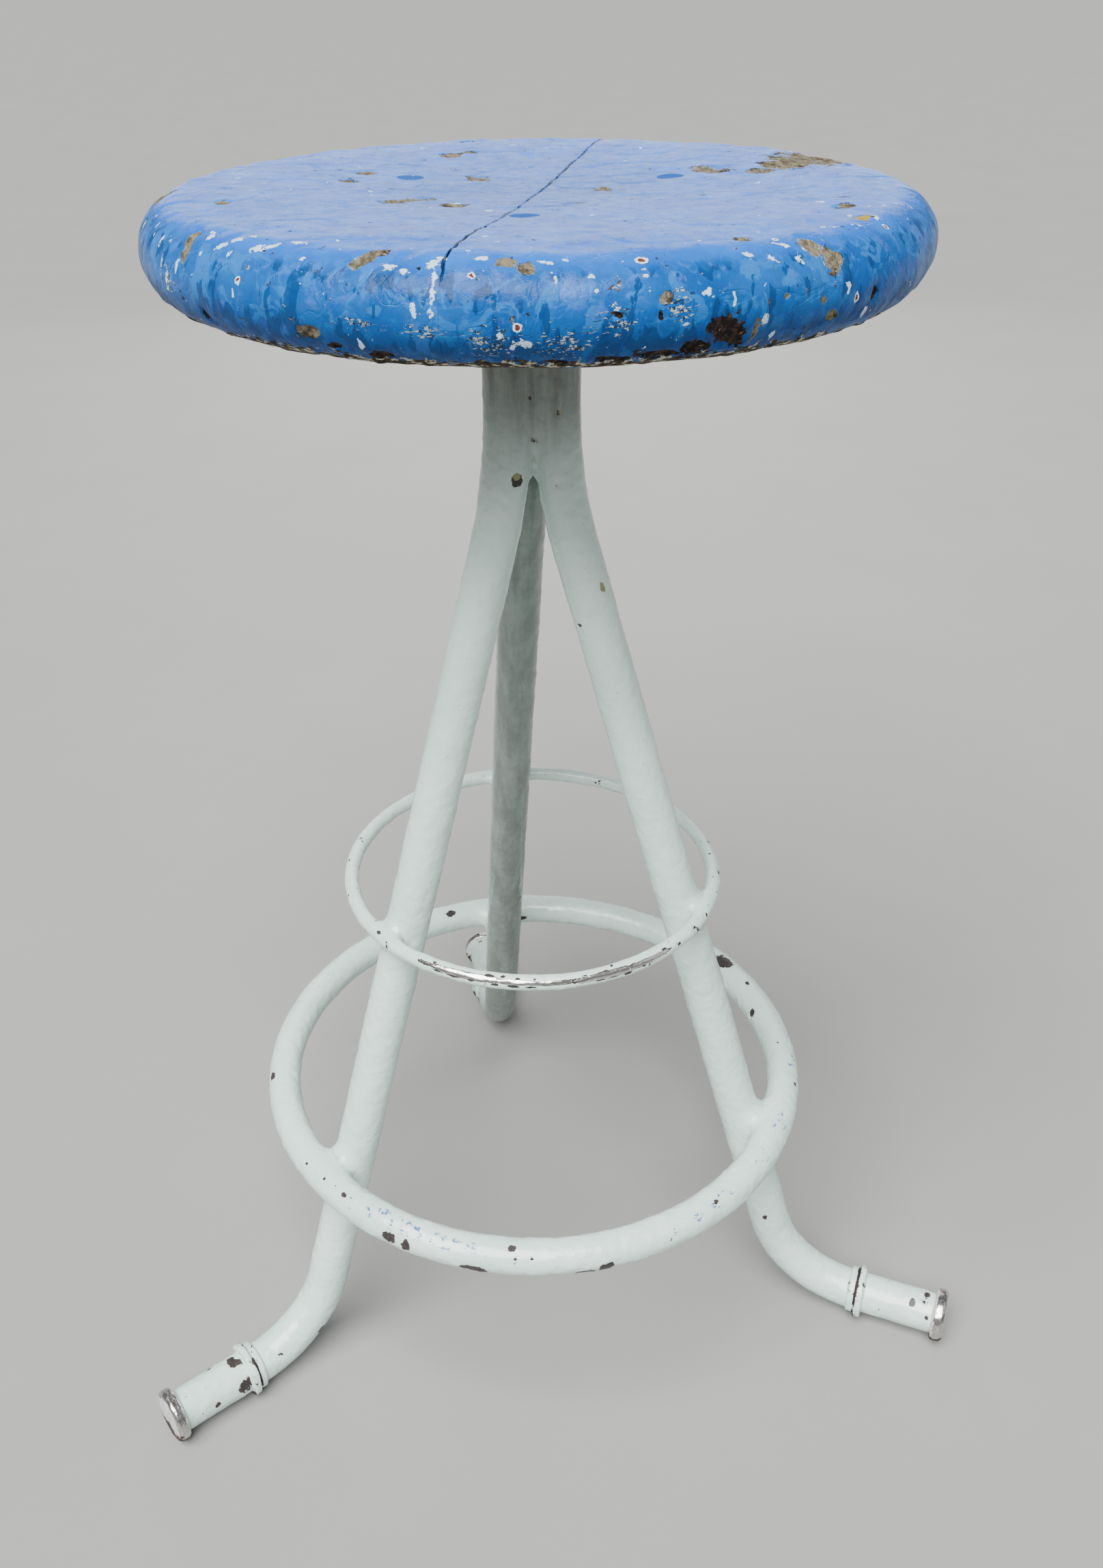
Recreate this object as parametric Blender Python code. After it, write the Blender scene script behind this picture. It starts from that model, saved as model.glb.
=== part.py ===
"""Three-legged bar stool with a round wooden seat and two welded rings.

Metres, +Z up. The stool is designed around its own axis (x = y = 0) with one leg pointing to +Y,
and is then moved along Y so that the world origin is at the bottom centre of its bounding box.
"""

from math import atan2, cos, pi, radians, sin, sqrt, tan

import bmesh
import bpy
from mathutils import Matrix, Vector

# Driving dimensions
FIT_GAP = 0.0003  # left between pieces that touch

SEAT_DIAMETER = 0.380
SEAT_THICKNESS = 0.044
SEAT_TOP = 0.704
SEAT_DISH_DEPTH = 0.004
SEAT_DISH_RADIUS = 0.155
SEAT_FLAT_RADIUS = 0.030  # the middle of the dish is flat
SEAM_AZIMUTH = radians(69)  # the glue joint between the two boards
SEAM_OFFSET = 0.003  # from the seat's centre
SEAT_OFFSET = Vector((0.003, 0, 0))  # the seat sits a little to the right of the legs' axis

BOLT_CIRCLE_RADIUS = 0.076
BOLT_AZIMUTH = radians(17.6)
BOLT_DIAMETER = 0.006
BOLT_HEAD_DIAMETER = 0.0115
BOLT_HEAD_DEPTH = 0.0035
BOLT_RECESS = 0.0012  # below the seat's surface
BOLT_HOLE_CLEARANCE = 0.0006  # on the diameter
WASHER_DIAMETER = 0.0125
WASHER_THICKNESS = 0.0012
NUT_ACROSS_FLATS = 0.010
NUT_HEIGHT = 0.005
BOLT_THREAD_PROUD = 0.003  # past the nut

PLATE_DIAMETER = 0.190
PLATE_THICKNESS = 0.004

TUBE_DIAMETER = 0.0254
TUBE_WALL = 0.002
LEG_AZIMUTHS = {"rear": radians(90), "left": radians(210), "right": radians(330)}
SHOULDER_HEIGHT = 0.557  # where the straight bundle and the splayed leg would meet
SHOULDER_BEND_RADIUS = 0.249
ANKLE_REACH = 0.1834  # where the splayed leg and the foot would meet
ANKLE_BEND_RADIUS = 0.062
FOOT_REACH = 0.2820  # from the stool's axis to the end of the tube

RIM_DIAMETER = 0.033  # of the collar and the cap
RIM_FLAT_DEPTH = 0.0003  # worn off where the rims stand on the floor
COLLAR_REACH = 0.232  # from the stool's axis to the collar's middle
COLLAR_FLANGE_LENGTH = 0.005
COLLAR_SHOULDER_DIAMETER = 0.0295
COLLAR_LENGTH = 0.010
CAP_LENGTH = 0.008
CAP_ROUNDING = 0.0025
CAP_SPIGOT_LENGTH = 0.014

FOOTREST_TUBE_DIAMETER = 0.0207
FOOTREST_WALL = 0.002
FOOTREST_HEIGHT = 0.1462
FOOTREST_JOINT_GAP = 0.0004  # the bent tube's two ends butt together behind the rear leg
UPPER_ROD_DIAMETER = 0.0088
UPPER_RING_HEIGHT = 0.3028

# Facets round each kind of piece
SEAT_FACETS = 56
PLATE_FACETS = 40
HOLE_FACETS = 12
TUBE_FACETS = 16
RIM_FACETS = 24
FOOTREST_FACETS = 12
FOOTREST_STEPS = 54
ROD_FACETS = 8
UPPER_RING_STEPS = 48

# Worked out from the driving dimensions
SEAT_RADIUS = SEAT_DIAMETER / 2
EDGE_RADIUS = SEAT_THICKNESS / 2
SEAT_BOTTOM = SEAT_TOP - SEAT_THICKNESS
PLATE_TOP = SEAT_BOTTOM - FIT_GAP
PLATE_BOTTOM = PLATE_TOP - PLATE_THICKNESS
LEG_TOP = PLATE_BOTTOM - FIT_GAP
FOOT_AXIS_HEIGHT = RIM_DIAMETER / 2 - RIM_FLAT_DEPTH
BUNDLE_RADIUS = (TUBE_DIAMETER + FIT_GAP) / sqrt(3)  # three tubes side by side
LEG_SPLAY = atan2(ANKLE_REACH - BUNDLE_RADIUS, SHOULDER_HEIGHT - FOOT_AXIS_HEIGHT)

BLUE_PAINT = (0.045, 0.200, 0.600, 1)
BARE_WOOD = (0.300, 0.230, 0.160, 1)
PALE_PAINT = (0.600, 0.660, 0.640, 1)
WORN_STEEL = (0.300, 0.270, 0.250, 1)


def material(name, colour, roughness, metallic=0.0):
    made = bpy.data.materials.get(name) or bpy.data.materials.new(name)
    made.use_nodes = True
    shader = made.node_tree.nodes["Principled BSDF"]
    shader.inputs["Base Color"].default_value = colour
    shader.inputs["Roughness"].default_value = roughness
    shader.inputs["Metallic"].default_value = metallic
    return made


def add_object(name, bm, finish, matrix=None):
    """A smooth-shaded object made from the bmesh, with its faces pointing out."""
    bmesh.ops.recalc_face_normals(bm, faces=bm.faces)
    mesh = bpy.data.meshes.new(name)
    bm.to_mesh(mesh)
    bm.free()
    mesh.shade_smooth()
    mesh.set_sharp_from_angle(angle=radians(35))
    mesh.materials.append(finish)
    made = bpy.data.objects.new(name, mesh)
    bpy.context.collection.objects.link(made)
    if matrix is not None:
        made.matrix_world = matrix
    return made


def filleted_path(corners, bend_radii, steps_per_bend):
    """Points along straight runs joined by round bends, one bend for each inner corner."""
    points = [corners[0]]
    for before, corner, after, radius, steps in zip(
        corners, corners[1:], corners[2:], bend_radii, steps_per_bend
    ):
        arriving = (corner - before).normalized()
        leaving = (after - corner).normalized()
        turn = arriving.angle(leaving)
        start = corner - arriving * radius * tan(turn / 2)
        inward = (leaving - arriving * arriving.dot(leaving)).normalized()
        for step in range(steps + 1):
            angle = turn * step / steps
            points.append(start + arriving * radius * sin(angle) + inward * radius * (1 - cos(angle)))
    points.append(corners[-1])
    return points


def tangent_at(points, index, closed):
    last = len(points) - 1
    before = points[index - 1] if closed or index > 0 else points[0]
    after = points[(index + 1) % len(points)] if closed or index < last else points[last]
    return (after - before).normalized()


def skin(bm, loops, closed=False):
    """Quads between each loop of vertices and the next."""
    following = loops[1:] + loops[:1] if closed else loops[1:]
    for loop, other in zip(loops, following):
        for index in range(len(loop)):
            after = (index + 1) % len(loop)
            bm.faces.new((loop[index], loop[after], other[after], other[index]))


def section_loops(bm, points, radius, facets, level, closed=False):
    """A circle of vertices across the path at each of its points; level is the path plane's normal."""
    loops = []
    for index, point in enumerate(points):
        across = tangent_at(points, index, closed).cross(level).normalized()
        angles = [2 * pi * (facet + 0.5) / facets for facet in range(facets)]
        offsets = [(across * cos(angle) + level * sin(angle)) * radius for angle in angles]
        loops.append([bm.verts.new(point + offset) for offset in offsets])
    return loops


def hollow_tube(name, points, diameter, wall, facets, level, finish):
    """A tube with open ends along a path."""
    bm = bmesh.new()
    outside = section_loops(bm, points, diameter / 2, facets, level)
    inside = section_loops(bm, points, diameter / 2 - wall, facets, level)
    skin(bm, outside)
    skin(bm, inside)
    skin(bm, [outside[0], inside[0]])
    skin(bm, [outside[-1], inside[-1]])
    return add_object(name, bm, finish)


def turned_mesh(profile, facets, ring=False, sweep=2 * pi):
    """The (radius, height) profile turned about Z. A ring's profile is a closed outline off the axis."""
    bm = bmesh.new()
    verts = [bm.verts.new((radius, 0, height)) for radius, height in profile]
    edges = [bm.edges.new(pair) for pair in zip(verts, verts[1:])]
    if ring:
        edges.append(bm.edges.new((verts[-1], verts[0])))
    bmesh.ops.spin(
        bm, geom=verts + edges, cent=(0, 0, 0), axis=(0, 0, 1), dvec=(0, 0, 0), angle=sweep, steps=facets
    )
    bmesh.ops.remove_doubles(bm, verts=bm.verts, dist=1e-6)
    return bm


def arc_profile(centre_radius, centre_height, radius, start, end, steps):
    """Points of a round edge in a (radius, height) profile; angles in degrees from +radius."""
    angles = [radians(start + (end - start) * step / steps) for step in range(steps + 1)]
    return [(centre_radius + radius * cos(a), centre_height + radius * sin(a)) for a in angles]


def leg_path():
    """The leg's centreline in the plane of X (outwards) and Z, from the seat plate to the foot."""
    corners = [
        Vector((BUNDLE_RADIUS, 0, LEG_TOP)),
        Vector((BUNDLE_RADIUS, 0, SHOULDER_HEIGHT)),
        Vector((ANKLE_REACH, 0, FOOT_AXIS_HEIGHT)),
        Vector((FOOT_REACH, 0, FOOT_AXIS_HEIGHT)),
    ]
    return filleted_path(corners, (SHOULDER_BEND_RADIUS, ANKLE_BEND_RADIUS), (5, 9))


def ring_radius(height, bar_diameter):
    """The centreline radius of a ring that touches the outside of the splayed legs."""
    leg_reach = ANKLE_REACH - (height - FOOT_AXIS_HEIGHT) * tan(LEG_SPLAY)
    return leg_reach + ((TUBE_DIAMETER + bar_diameter) / 2 + FIT_GAP) / cos(LEG_SPLAY)


def seat_surface(radius):
    """Height of the seat's top at a distance from its centre: a flat middle, a slope, a rim."""
    slope = (radius - SEAT_FLAT_RADIUS) / (SEAT_DISH_RADIUS - SEAT_FLAT_RADIUS)
    slope = min(max(slope, 0), 1)
    return SEAT_TOP - SEAT_DISH_DEPTH * (1 + cos(pi * slope)) / 2


def seat_profile():
    """From the middle of the dish over the round edge to the middle of the underside."""
    dish_radii = [0, SEAT_FLAT_RADIUS, 0.055, 0.080, 0.105, 0.130, SEAT_DISH_RADIUS]
    dish = [(radius, seat_surface(radius)) for radius in dish_radii]
    middle_height = SEAT_TOP - EDGE_RADIUS
    edge = arc_profile(SEAT_RADIUS - EDGE_RADIUS, middle_height, EDGE_RADIUS, 90, -90, 10)
    return dish + edge + [(0, SEAT_BOTTOM)]


def bolt_places():
    for index in range(3):
        azimuth = BOLT_AZIMUTH + index * 2 * pi / 3
        yield index + 1, SEAT_OFFSET + BOLT_CIRCLE_RADIUS * Vector((cos(azimuth), sin(azimuth), 0))


def add_cutter(name, bm, matrix):
    cutter = add_object(name, bm, material("cutter", WORN_STEEL, 0.5), matrix)
    cutter.hide_render = True
    cutter.display_type = "WIRE"
    return cutter


def cut(target, cutter):
    boolean = target.modifiers.new(cutter.name, "BOOLEAN")
    boolean.operation = "DIFFERENCE"
    boolean.solver = "EXACT"
    boolean.object = cutter


def head_height():
    """Height of the top of the sunk bolt heads."""
    return seat_surface(BOLT_CIRCLE_RADIUS) - BOLT_RECESS


def add_bolt_hole_cutters():
    """One stepped hole for each bolt: a shank hole below a round recess for the head."""
    hole_radius = (BOLT_DIAMETER + BOLT_HOLE_CLEARANCE) / 2
    recess_radius = (BOLT_HEAD_DIAMETER + BOLT_HOLE_CLEARANCE) / 2
    recess_floor = head_height() - BOLT_HEAD_DEPTH - FIT_GAP
    above, below = SEAT_TOP + 0.01, PLATE_BOTTOM - 0.01
    profile = [
        (0, above), (recess_radius, above), (recess_radius, recess_floor),
        (hole_radius, recess_floor), (hole_radius, below), (0, below),
    ]
    return [
        add_cutter(f"bolt_hole_{index}", turned_mesh(profile, HOLE_FACETS), Matrix.Translation(place))
        for index, place in bolt_places()
    ]


def add_seat_boards(cutters):
    """Two boards glued edge to edge, cut as one round seat with a rolled edge."""
    finish = material("blue_paint", BLUE_PAINT, 0.35)
    seam_normal = Vector((sin(SEAM_AZIMUTH), -cos(SEAM_AZIMUTH), 0))
    boards = []
    for name, side in (("seat_board_right", 1), ("seat_board_left", -1)):
        bm = turned_mesh(seat_profile(), SEAT_FACETS)
        bmesh.ops.bisect_plane(
            bm,
            geom=list(bm.verts) + list(bm.edges) + list(bm.faces),
            plane_co=seam_normal * (SEAM_OFFSET + side * FIT_GAP / 2),
            plane_no=seam_normal * -side,
            clear_outer=True,
        )
        open_edges = [edge for edge in bm.edges if edge.is_boundary]
        bmesh.ops.contextual_create(bm, geom=open_edges)
        boards.append(add_object(name, bm, finish, Matrix.Translation(SEAT_OFFSET)))
    for board in boards:
        for cutter in cutters:
            cut(board, cutter)
    return boards


def add_seat_plate(cutters):
    """The steel disc that the legs are welded to and the seat is bolted to."""
    bevel = 0.0008
    radius = PLATE_DIAMETER / 2
    profile = [
        (0, PLATE_TOP), (radius - bevel, PLATE_TOP), (radius, PLATE_TOP - bevel),
        (radius, PLATE_BOTTOM + bevel), (radius - bevel, PLATE_BOTTOM), (0, PLATE_BOTTOM),
    ]
    finish = material("plate_paint", PALE_PAINT, 0.45)
    plate = add_object(
        "seat_plate", turned_mesh(profile, PLATE_FACETS), finish, Matrix.Translation(SEAT_OFFSET)
    )
    for cutter in cutters:
        cut(plate, cutter)
    return plate


def add_seat_bolt(index, place):
    """A sunk round-headed bolt, from the seat's top to below its nut."""
    head, shank = BOLT_HEAD_DIAMETER / 2, BOLT_DIAMETER / 2
    top = head_height()
    bottom = PLATE_BOTTOM - WASHER_THICKNESS - NUT_HEIGHT - BOLT_THREAD_PROUD
    chamfer = 0.0008
    profile = [
        (0, top), (head - chamfer, top), (head, top - chamfer), (head, top - BOLT_HEAD_DEPTH),
        (shank, top - BOLT_HEAD_DEPTH), (shank, bottom + chamfer), (shank - chamfer, bottom), (0, bottom),
    ]
    bolt = turned_mesh(profile, HOLE_FACETS)
    finish = material("bolt_steel", WORN_STEEL, 0.5, 0.8)
    return add_object(f"seat_bolt_{index}", bolt, finish, Matrix.Translation(place))


def add_washer(index, place):
    bore = (BOLT_DIAMETER + BOLT_HOLE_CLEARANCE) / 2
    top = PLATE_BOTTOM - FIT_GAP
    bottom = top - WASHER_THICKNESS + FIT_GAP
    profile = [(bore, top), (WASHER_DIAMETER / 2, top), (WASHER_DIAMETER / 2, bottom), (bore, bottom)]
    washer = turned_mesh(profile, HOLE_FACETS, ring=True)
    finish = material("washer_steel", WORN_STEEL, 0.45, 0.9)
    return add_object(f"seat_washer_{index}", washer, finish, Matrix.Translation(place))


def add_nut(index, place):
    """A hexagonal nut: a hexagon's outline joined to a round bore."""
    bm = bmesh.new()
    corner_radius = NUT_ACROSS_FLATS / 2 / cos(pi / 6)
    bore = (BOLT_DIAMETER + BOLT_HOLE_CLEARANCE) / 2
    top = PLATE_BOTTOM - WASHER_THICKNESS - FIT_GAP
    bottom = top - NUT_HEIGHT + FIT_GAP
    loops = []
    for radius, height in ((corner_radius, top), (corner_radius, bottom), (bore, bottom), (bore, top)):
        is_bore = radius == bore
        loop = []
        for step in range(HOLE_FACETS):
            angle = 2 * pi * step / HOLE_FACETS
            flat_radius = corner_radius * cos(pi / 6)
            reach = bore if is_bore else (corner_radius if step % 2 == 0 else flat_radius)
            loop.append(bm.verts.new((reach * cos(angle), reach * sin(angle), height)))
        loops.append(loop)
    skin(bm, loops, closed=True)
    finish = material("nut_steel", WORN_STEEL, 0.5, 0.85)
    return add_object(f"seat_nut_{index}", bm, finish, Matrix.Translation(place))


def add_leg(side, azimuth):
    leg = hollow_tube(
        f"leg_{side}", leg_path(), TUBE_DIAMETER, TUBE_WALL, TUBE_FACETS, Vector((0, 1, 0)),
        material("leg_paint", PALE_PAINT, 0.35),
    )
    leg.rotation_euler.z = azimuth
    return leg


def foot_matrix(azimuth, reach):
    """Local Z runs outwards along the foot, local X points down."""
    place = Matrix.Rotation(azimuth, 4, "Z") @ Matrix.Translation((reach, 0, FOOT_AXIS_HEIGHT))
    return place @ Matrix.Rotation(pi / 2, 4, "Y")


def wear_flat(bm):
    """The flat that the floor has worn on the underside of a rim."""
    bmesh.ops.bisect_plane(
        bm,
        geom=list(bm.verts) + list(bm.edges) + list(bm.faces),
        plane_co=(FOOT_AXIS_HEIGHT, 0, 0),
        plane_no=(1, 0, 0),
        clear_outer=True,
    )
    open_edges = [edge for edge in bm.edges if edge.is_boundary]
    bmesh.ops.contextual_create(bm, geom=open_edges)


def add_collar(side, azimuth):
    """A ring round the foot where the bend ends: a low shoulder and a taller flange."""
    bore = TUBE_DIAMETER / 2 + FIT_GAP
    shoulder, rim = COLLAR_SHOULDER_DIAMETER / 2, RIM_DIAMETER / 2
    back, front = -COLLAR_LENGTH / 2, COLLAR_LENGTH / 2
    step = front - COLLAR_FLANGE_LENGTH
    soft = 0.001
    profile = [
        (bore, back), (shoulder - soft, back), (shoulder, back + soft), (shoulder, step),
        (rim - soft, step), (rim, step + soft), (rim, front - soft), (rim - soft, front), (bore, front),
    ]
    bm = turned_mesh(profile, RIM_FACETS, ring=True)
    wear_flat(bm)
    finish = material("collar_paint", PALE_PAINT, 0.4)
    return add_object(f"foot_collar_{side}", bm, finish, foot_matrix(azimuth, COLLAR_REACH))


def add_foot_cap(side, azimuth):
    """A turned plug: a spigot inside the tube and a slightly domed head that stands on the floor."""
    rim = RIM_DIAMETER / 2
    spigot = TUBE_DIAMETER / 2 - TUBE_WALL - FIT_GAP
    dome = 0.0006
    round_edge = arc_profile(rim - CAP_ROUNDING, CAP_LENGTH - dome - CAP_ROUNDING, CAP_ROUNDING, 0, 90, 3)
    profile = [
        (0, -CAP_SPIGOT_LENGTH), (spigot, -CAP_SPIGOT_LENGTH), (spigot, FIT_GAP),
        (rim - 0.001, FIT_GAP), (rim, FIT_GAP + 0.001), *round_edge, (0, CAP_LENGTH),
    ]
    bm = turned_mesh(profile, RIM_FACETS)
    wear_flat(bm)
    finish = material("cap_steel", WORN_STEEL, 0.4, 0.8)
    return add_object(f"foot_cap_{side}", bm, finish, foot_matrix(azimuth, FOOT_REACH))


def add_footrest_ring():
    """A bent tube whose ends butt together behind the rear leg, outside all three legs."""
    radius = ring_radius(FOOTREST_HEIGHT, FOOTREST_TUBE_DIAMETER)
    half_gap = FOOTREST_JOINT_GAP / 2 / radius
    start = LEG_AZIMUTHS["rear"] + half_gap
    sweep = 2 * pi - 2 * half_gap
    points = [
        Vector((radius * cos(angle), radius * sin(angle), FOOTREST_HEIGHT))
        for angle in (start + sweep * step / FOOTREST_STEPS for step in range(FOOTREST_STEPS + 1))
    ]
    return hollow_tube(
        "footrest_ring", points, FOOTREST_TUBE_DIAMETER, FOOTREST_WALL, FOOTREST_FACETS,
        Vector((0, 0, 1)), material("footrest_paint", PALE_PAINT, 0.35),
    )


def add_upper_ring():
    """A thin solid rod bent to a closed ring, outside all three legs."""
    radius = ring_radius(UPPER_RING_HEIGHT, UPPER_ROD_DIAMETER)
    angles = [2 * pi * step / UPPER_RING_STEPS for step in range(UPPER_RING_STEPS)]
    points = [Vector((radius * cos(a), radius * sin(a), UPPER_RING_HEIGHT)) for a in angles]
    bm = bmesh.new()
    up = Vector((0, 0, 1))
    loops = section_loops(bm, points, UPPER_ROD_DIAMETER / 2, ROD_FACETS, up, closed=True)
    skin(bm, loops, closed=True)
    return add_object("upper_ring", bm, material("ring_paint", PALE_PAINT, 0.3, 0.2))


def stand_on_origin(objects):
    """Parents everything to an empty that puts the bounding box's bottom centre at the origin."""
    bpy.context.view_layer.update()
    corners = [made.matrix_world @ vert.co for made in objects for vert in made.data.vertices]
    low_y, high_y = min(c.y for c in corners), max(c.y for c in corners)
    low_x, high_x = min(c.x for c in corners), max(c.x for c in corners)
    root = bpy.data.objects.new("stool_axis", None)
    bpy.context.collection.objects.link(root)
    root.location = (-(low_x + high_x) / 2, -(low_y + high_y) / 2, 0)
    for made in objects:
        made.parent = root


def build():
    for old in list(bpy.data.objects):
        bpy.data.objects.remove(old)
    cutters = add_bolt_hole_cutters()
    pieces = [*add_seat_boards(cutters), add_seat_plate(cutters)]
    for index, place in bolt_places():
        pieces += [add_seat_bolt(index, place), add_washer(index, place), add_nut(index, place)]
    for side, azimuth in LEG_AZIMUTHS.items():
        pieces += [add_leg(side, azimuth), add_collar(side, azimuth), add_foot_cap(side, azimuth)]
    pieces += [add_footrest_ring(), add_upper_ring()]
    stand_on_origin(pieces + cutters)


build()
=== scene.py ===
from math import cos, pi, radians, sin, sqrt, tan
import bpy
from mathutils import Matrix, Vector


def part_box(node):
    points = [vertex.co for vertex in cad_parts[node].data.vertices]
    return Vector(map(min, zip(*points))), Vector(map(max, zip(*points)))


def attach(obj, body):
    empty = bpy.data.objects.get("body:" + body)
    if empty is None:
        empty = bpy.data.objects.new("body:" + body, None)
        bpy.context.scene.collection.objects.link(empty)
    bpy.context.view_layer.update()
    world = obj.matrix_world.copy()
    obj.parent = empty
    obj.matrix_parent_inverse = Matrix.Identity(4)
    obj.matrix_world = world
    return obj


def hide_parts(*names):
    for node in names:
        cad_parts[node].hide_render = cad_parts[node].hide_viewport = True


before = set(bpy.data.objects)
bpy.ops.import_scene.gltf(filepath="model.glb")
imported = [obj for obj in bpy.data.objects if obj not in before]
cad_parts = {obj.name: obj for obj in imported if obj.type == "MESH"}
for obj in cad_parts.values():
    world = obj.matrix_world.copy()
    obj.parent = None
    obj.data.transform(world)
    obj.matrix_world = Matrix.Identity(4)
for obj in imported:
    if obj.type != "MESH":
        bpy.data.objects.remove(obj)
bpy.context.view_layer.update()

from types import SimpleNamespace

import bmesh
import bpy
import numpy as np
from mathutils import Matrix, Vector

MM = 0.001
UP = np.array([0.0, 0.0, 1.0])

# The stool's plan and heights, from the frame.
ring_low, ring_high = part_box("footrest_ring")
upper_low, upper_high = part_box("upper_ring")
plate_low, plate_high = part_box("seat_plate")
_, cap_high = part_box("foot_cap_rear")
collar_low, collar_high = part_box("foot_collar_rear")
_, leg_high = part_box("leg_rear")
seat_low, seat_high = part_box("seat_board_left")
AXIS = np.array([(ring_low.x + ring_high.x) / 2, (ring_low.y + ring_high.y) / 2, 0.0])
SEAT_CENTRE = np.array([(plate_low.x + plate_high.x) / 2, (plate_low.y + plate_high.y) / 2, 0.0])

TUBE_RADIUS = 12.7 * MM
RIM_RADIUS = 16.5 * MM
FOOTREST_BAR = 10.35 * MM
UPPER_BAR = 4.4 * MM
FOOTREST_RADIUS = (ring_high.y - ring_low.y) / 2 - FOOTREST_BAR
FOOTREST_HEIGHT = (ring_low.z + ring_high.z) / 2
UPPER_RADIUS = (upper_high.y - upper_low.y) / 2 - UPPER_BAR
UPPER_HEIGHT = (upper_low.z + upper_high.z) / 2
PLATE_RADIUS = (plate_high.x - plate_low.x) / 2
FOOTREST = (FOOTREST_RADIUS, FOOTREST_HEIGHT, FOOTREST_BAR)
UPPER_RING = (UPPER_RADIUS, UPPER_HEIGHT, UPPER_BAR)
LEG_TOP = leg_high.z
FOOT_REACH = leg_high.y - AXIS[1]
FOOT_HEIGHT = cap_high.z - RIM_RADIUS
CAP_REACH = cap_high.y - AXIS[1]
COLLAR_REACH = (collar_low.y + collar_high.y) / 2 - AXIS[1]

# The legs' bends.
LEG_AZIMUTHS = {"rear": radians(90), "left": radians(210), "right": radians(330)}
BUNDLE_RADIUS = (2 * TUBE_RADIUS + 0.3 * MM) / sqrt(3)
SHOULDER_HEIGHT = 557 * MM
SHOULDER_BEND = 249 * MM
ANKLE_REACH = 183.4 * MM
ANKLE_BEND = 62 * MM

# The widths of the weld fillets.
FOOTREST_WELD = 13 * MM
UPPER_WELD = 9 * MM
PLATE_WELD = 9 * MM

# How finely the frame's meshes are made: spacings along, and points around.
LEG_SPACING = 2.1 * MM
RING_SPACING = 1.9 * MM
LEG_AROUND = 48
FOOT_AROUND = 84
PLATE_AROUND = 200

# The seat's outline.
SEAT_TOP = seat_high.z
SEAT_RADIUS = 190 * MM
EDGE_RADIUS = (seat_high.z - seat_low.z) / 2
SEAT_MIDDLE = SEAT_TOP - EDGE_RADIUS
CREST_RADIUS = SEAT_RADIUS - EDGE_RADIUS
DISH_DEPTH = 4 * MM
DISH_RADIUS = 155 * MM
FLAT_RADIUS = 30 * MM
SEAM_AZIMUTH = radians(69)
SEAM_OFFSET = 3 * MM
SEAM_NORMAL = np.array([sin(SEAM_AZIMUTH), -cos(SEAM_AZIMUTH), 0.0])
BOLT_CIRCLE = 76 * MM
BOLT_DIMPLE = 7.5 * MM
BOLT_AZIMUTHS = [radians(17.6 + 120 * index) for index in range(3)]

# How finely the seat's mesh is made: the top's grid, and rows round the edge and in underneath.
SEAT_GRID = 220
EDGE_STEPS = 52
UNDER_STEPS = 22

CAMERA_FROM_AXIS = (-0.110, -0.714, 0.808)


# ---------------------------------------------------------------- numbers

def ramp(value, start, end):
    """0 below start, 1 above end, smooth between."""
    t = np.clip((value - start) / (end - start), 0, 1)
    return t * t * (3 - 2 * t)


def lattice(corner, seed):
    """A repeatable number from 0 to 1 for each whole-numbered corner of space."""
    c = corner.astype(np.int64).astype(np.uint32)
    mixed = c[:, 0] * np.uint32(374761393) ^ c[:, 1] * np.uint32(668265263)
    mixed = mixed ^ c[:, 2] * np.uint32(2246822519) ^ np.uint32(seed * 3266489917 & 0xFFFFFFFF)
    mixed = (mixed ^ (mixed >> np.uint32(15))) * np.uint32(2654435761)
    mixed = (mixed ^ (mixed >> np.uint32(13))) * np.uint32(1274126177)
    return (mixed ^ (mixed >> np.uint32(16))).astype(float) / 0xFFFFFFFF


def noise(points, size, seed):
    """Smooth noise from -1 to 1, with lumps of about the given size (one number or one per axis)."""
    scaled = points / size
    base = np.floor(scaled)
    part = scaled - base
    part = part * part * (3 - 2 * part)
    total = np.zeros(len(points))
    for corner in np.ndindex(2, 2, 2):
        weight = np.prod(np.where(corner, part, 1 - part), axis=1)
        total += weight * lattice(base + corner, seed)
    return total * 2 - 1


def lumps(points, layers):
    """Noises added up, in metres. A layer is its height and its lumps' size in mm, and its seed."""
    return sum(height * noise(points, size * MM, seed) for height, size, seed in layers) * MM


def unit(vectors):
    return vectors / np.linalg.norm(vectors, axis=-1, keepdims=True)


def smooth_union(first, second, width):
    """The distance to two surfaces joined by a fillet about as wide as the given width."""
    share = np.clip(0.5 + 0.5 * (second - first) / width, 0, 1)
    return second * (1 - share) + first * share - width * share * (1 - share)


# ---------------------------------------------------------------- the frame's surfaces

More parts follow.
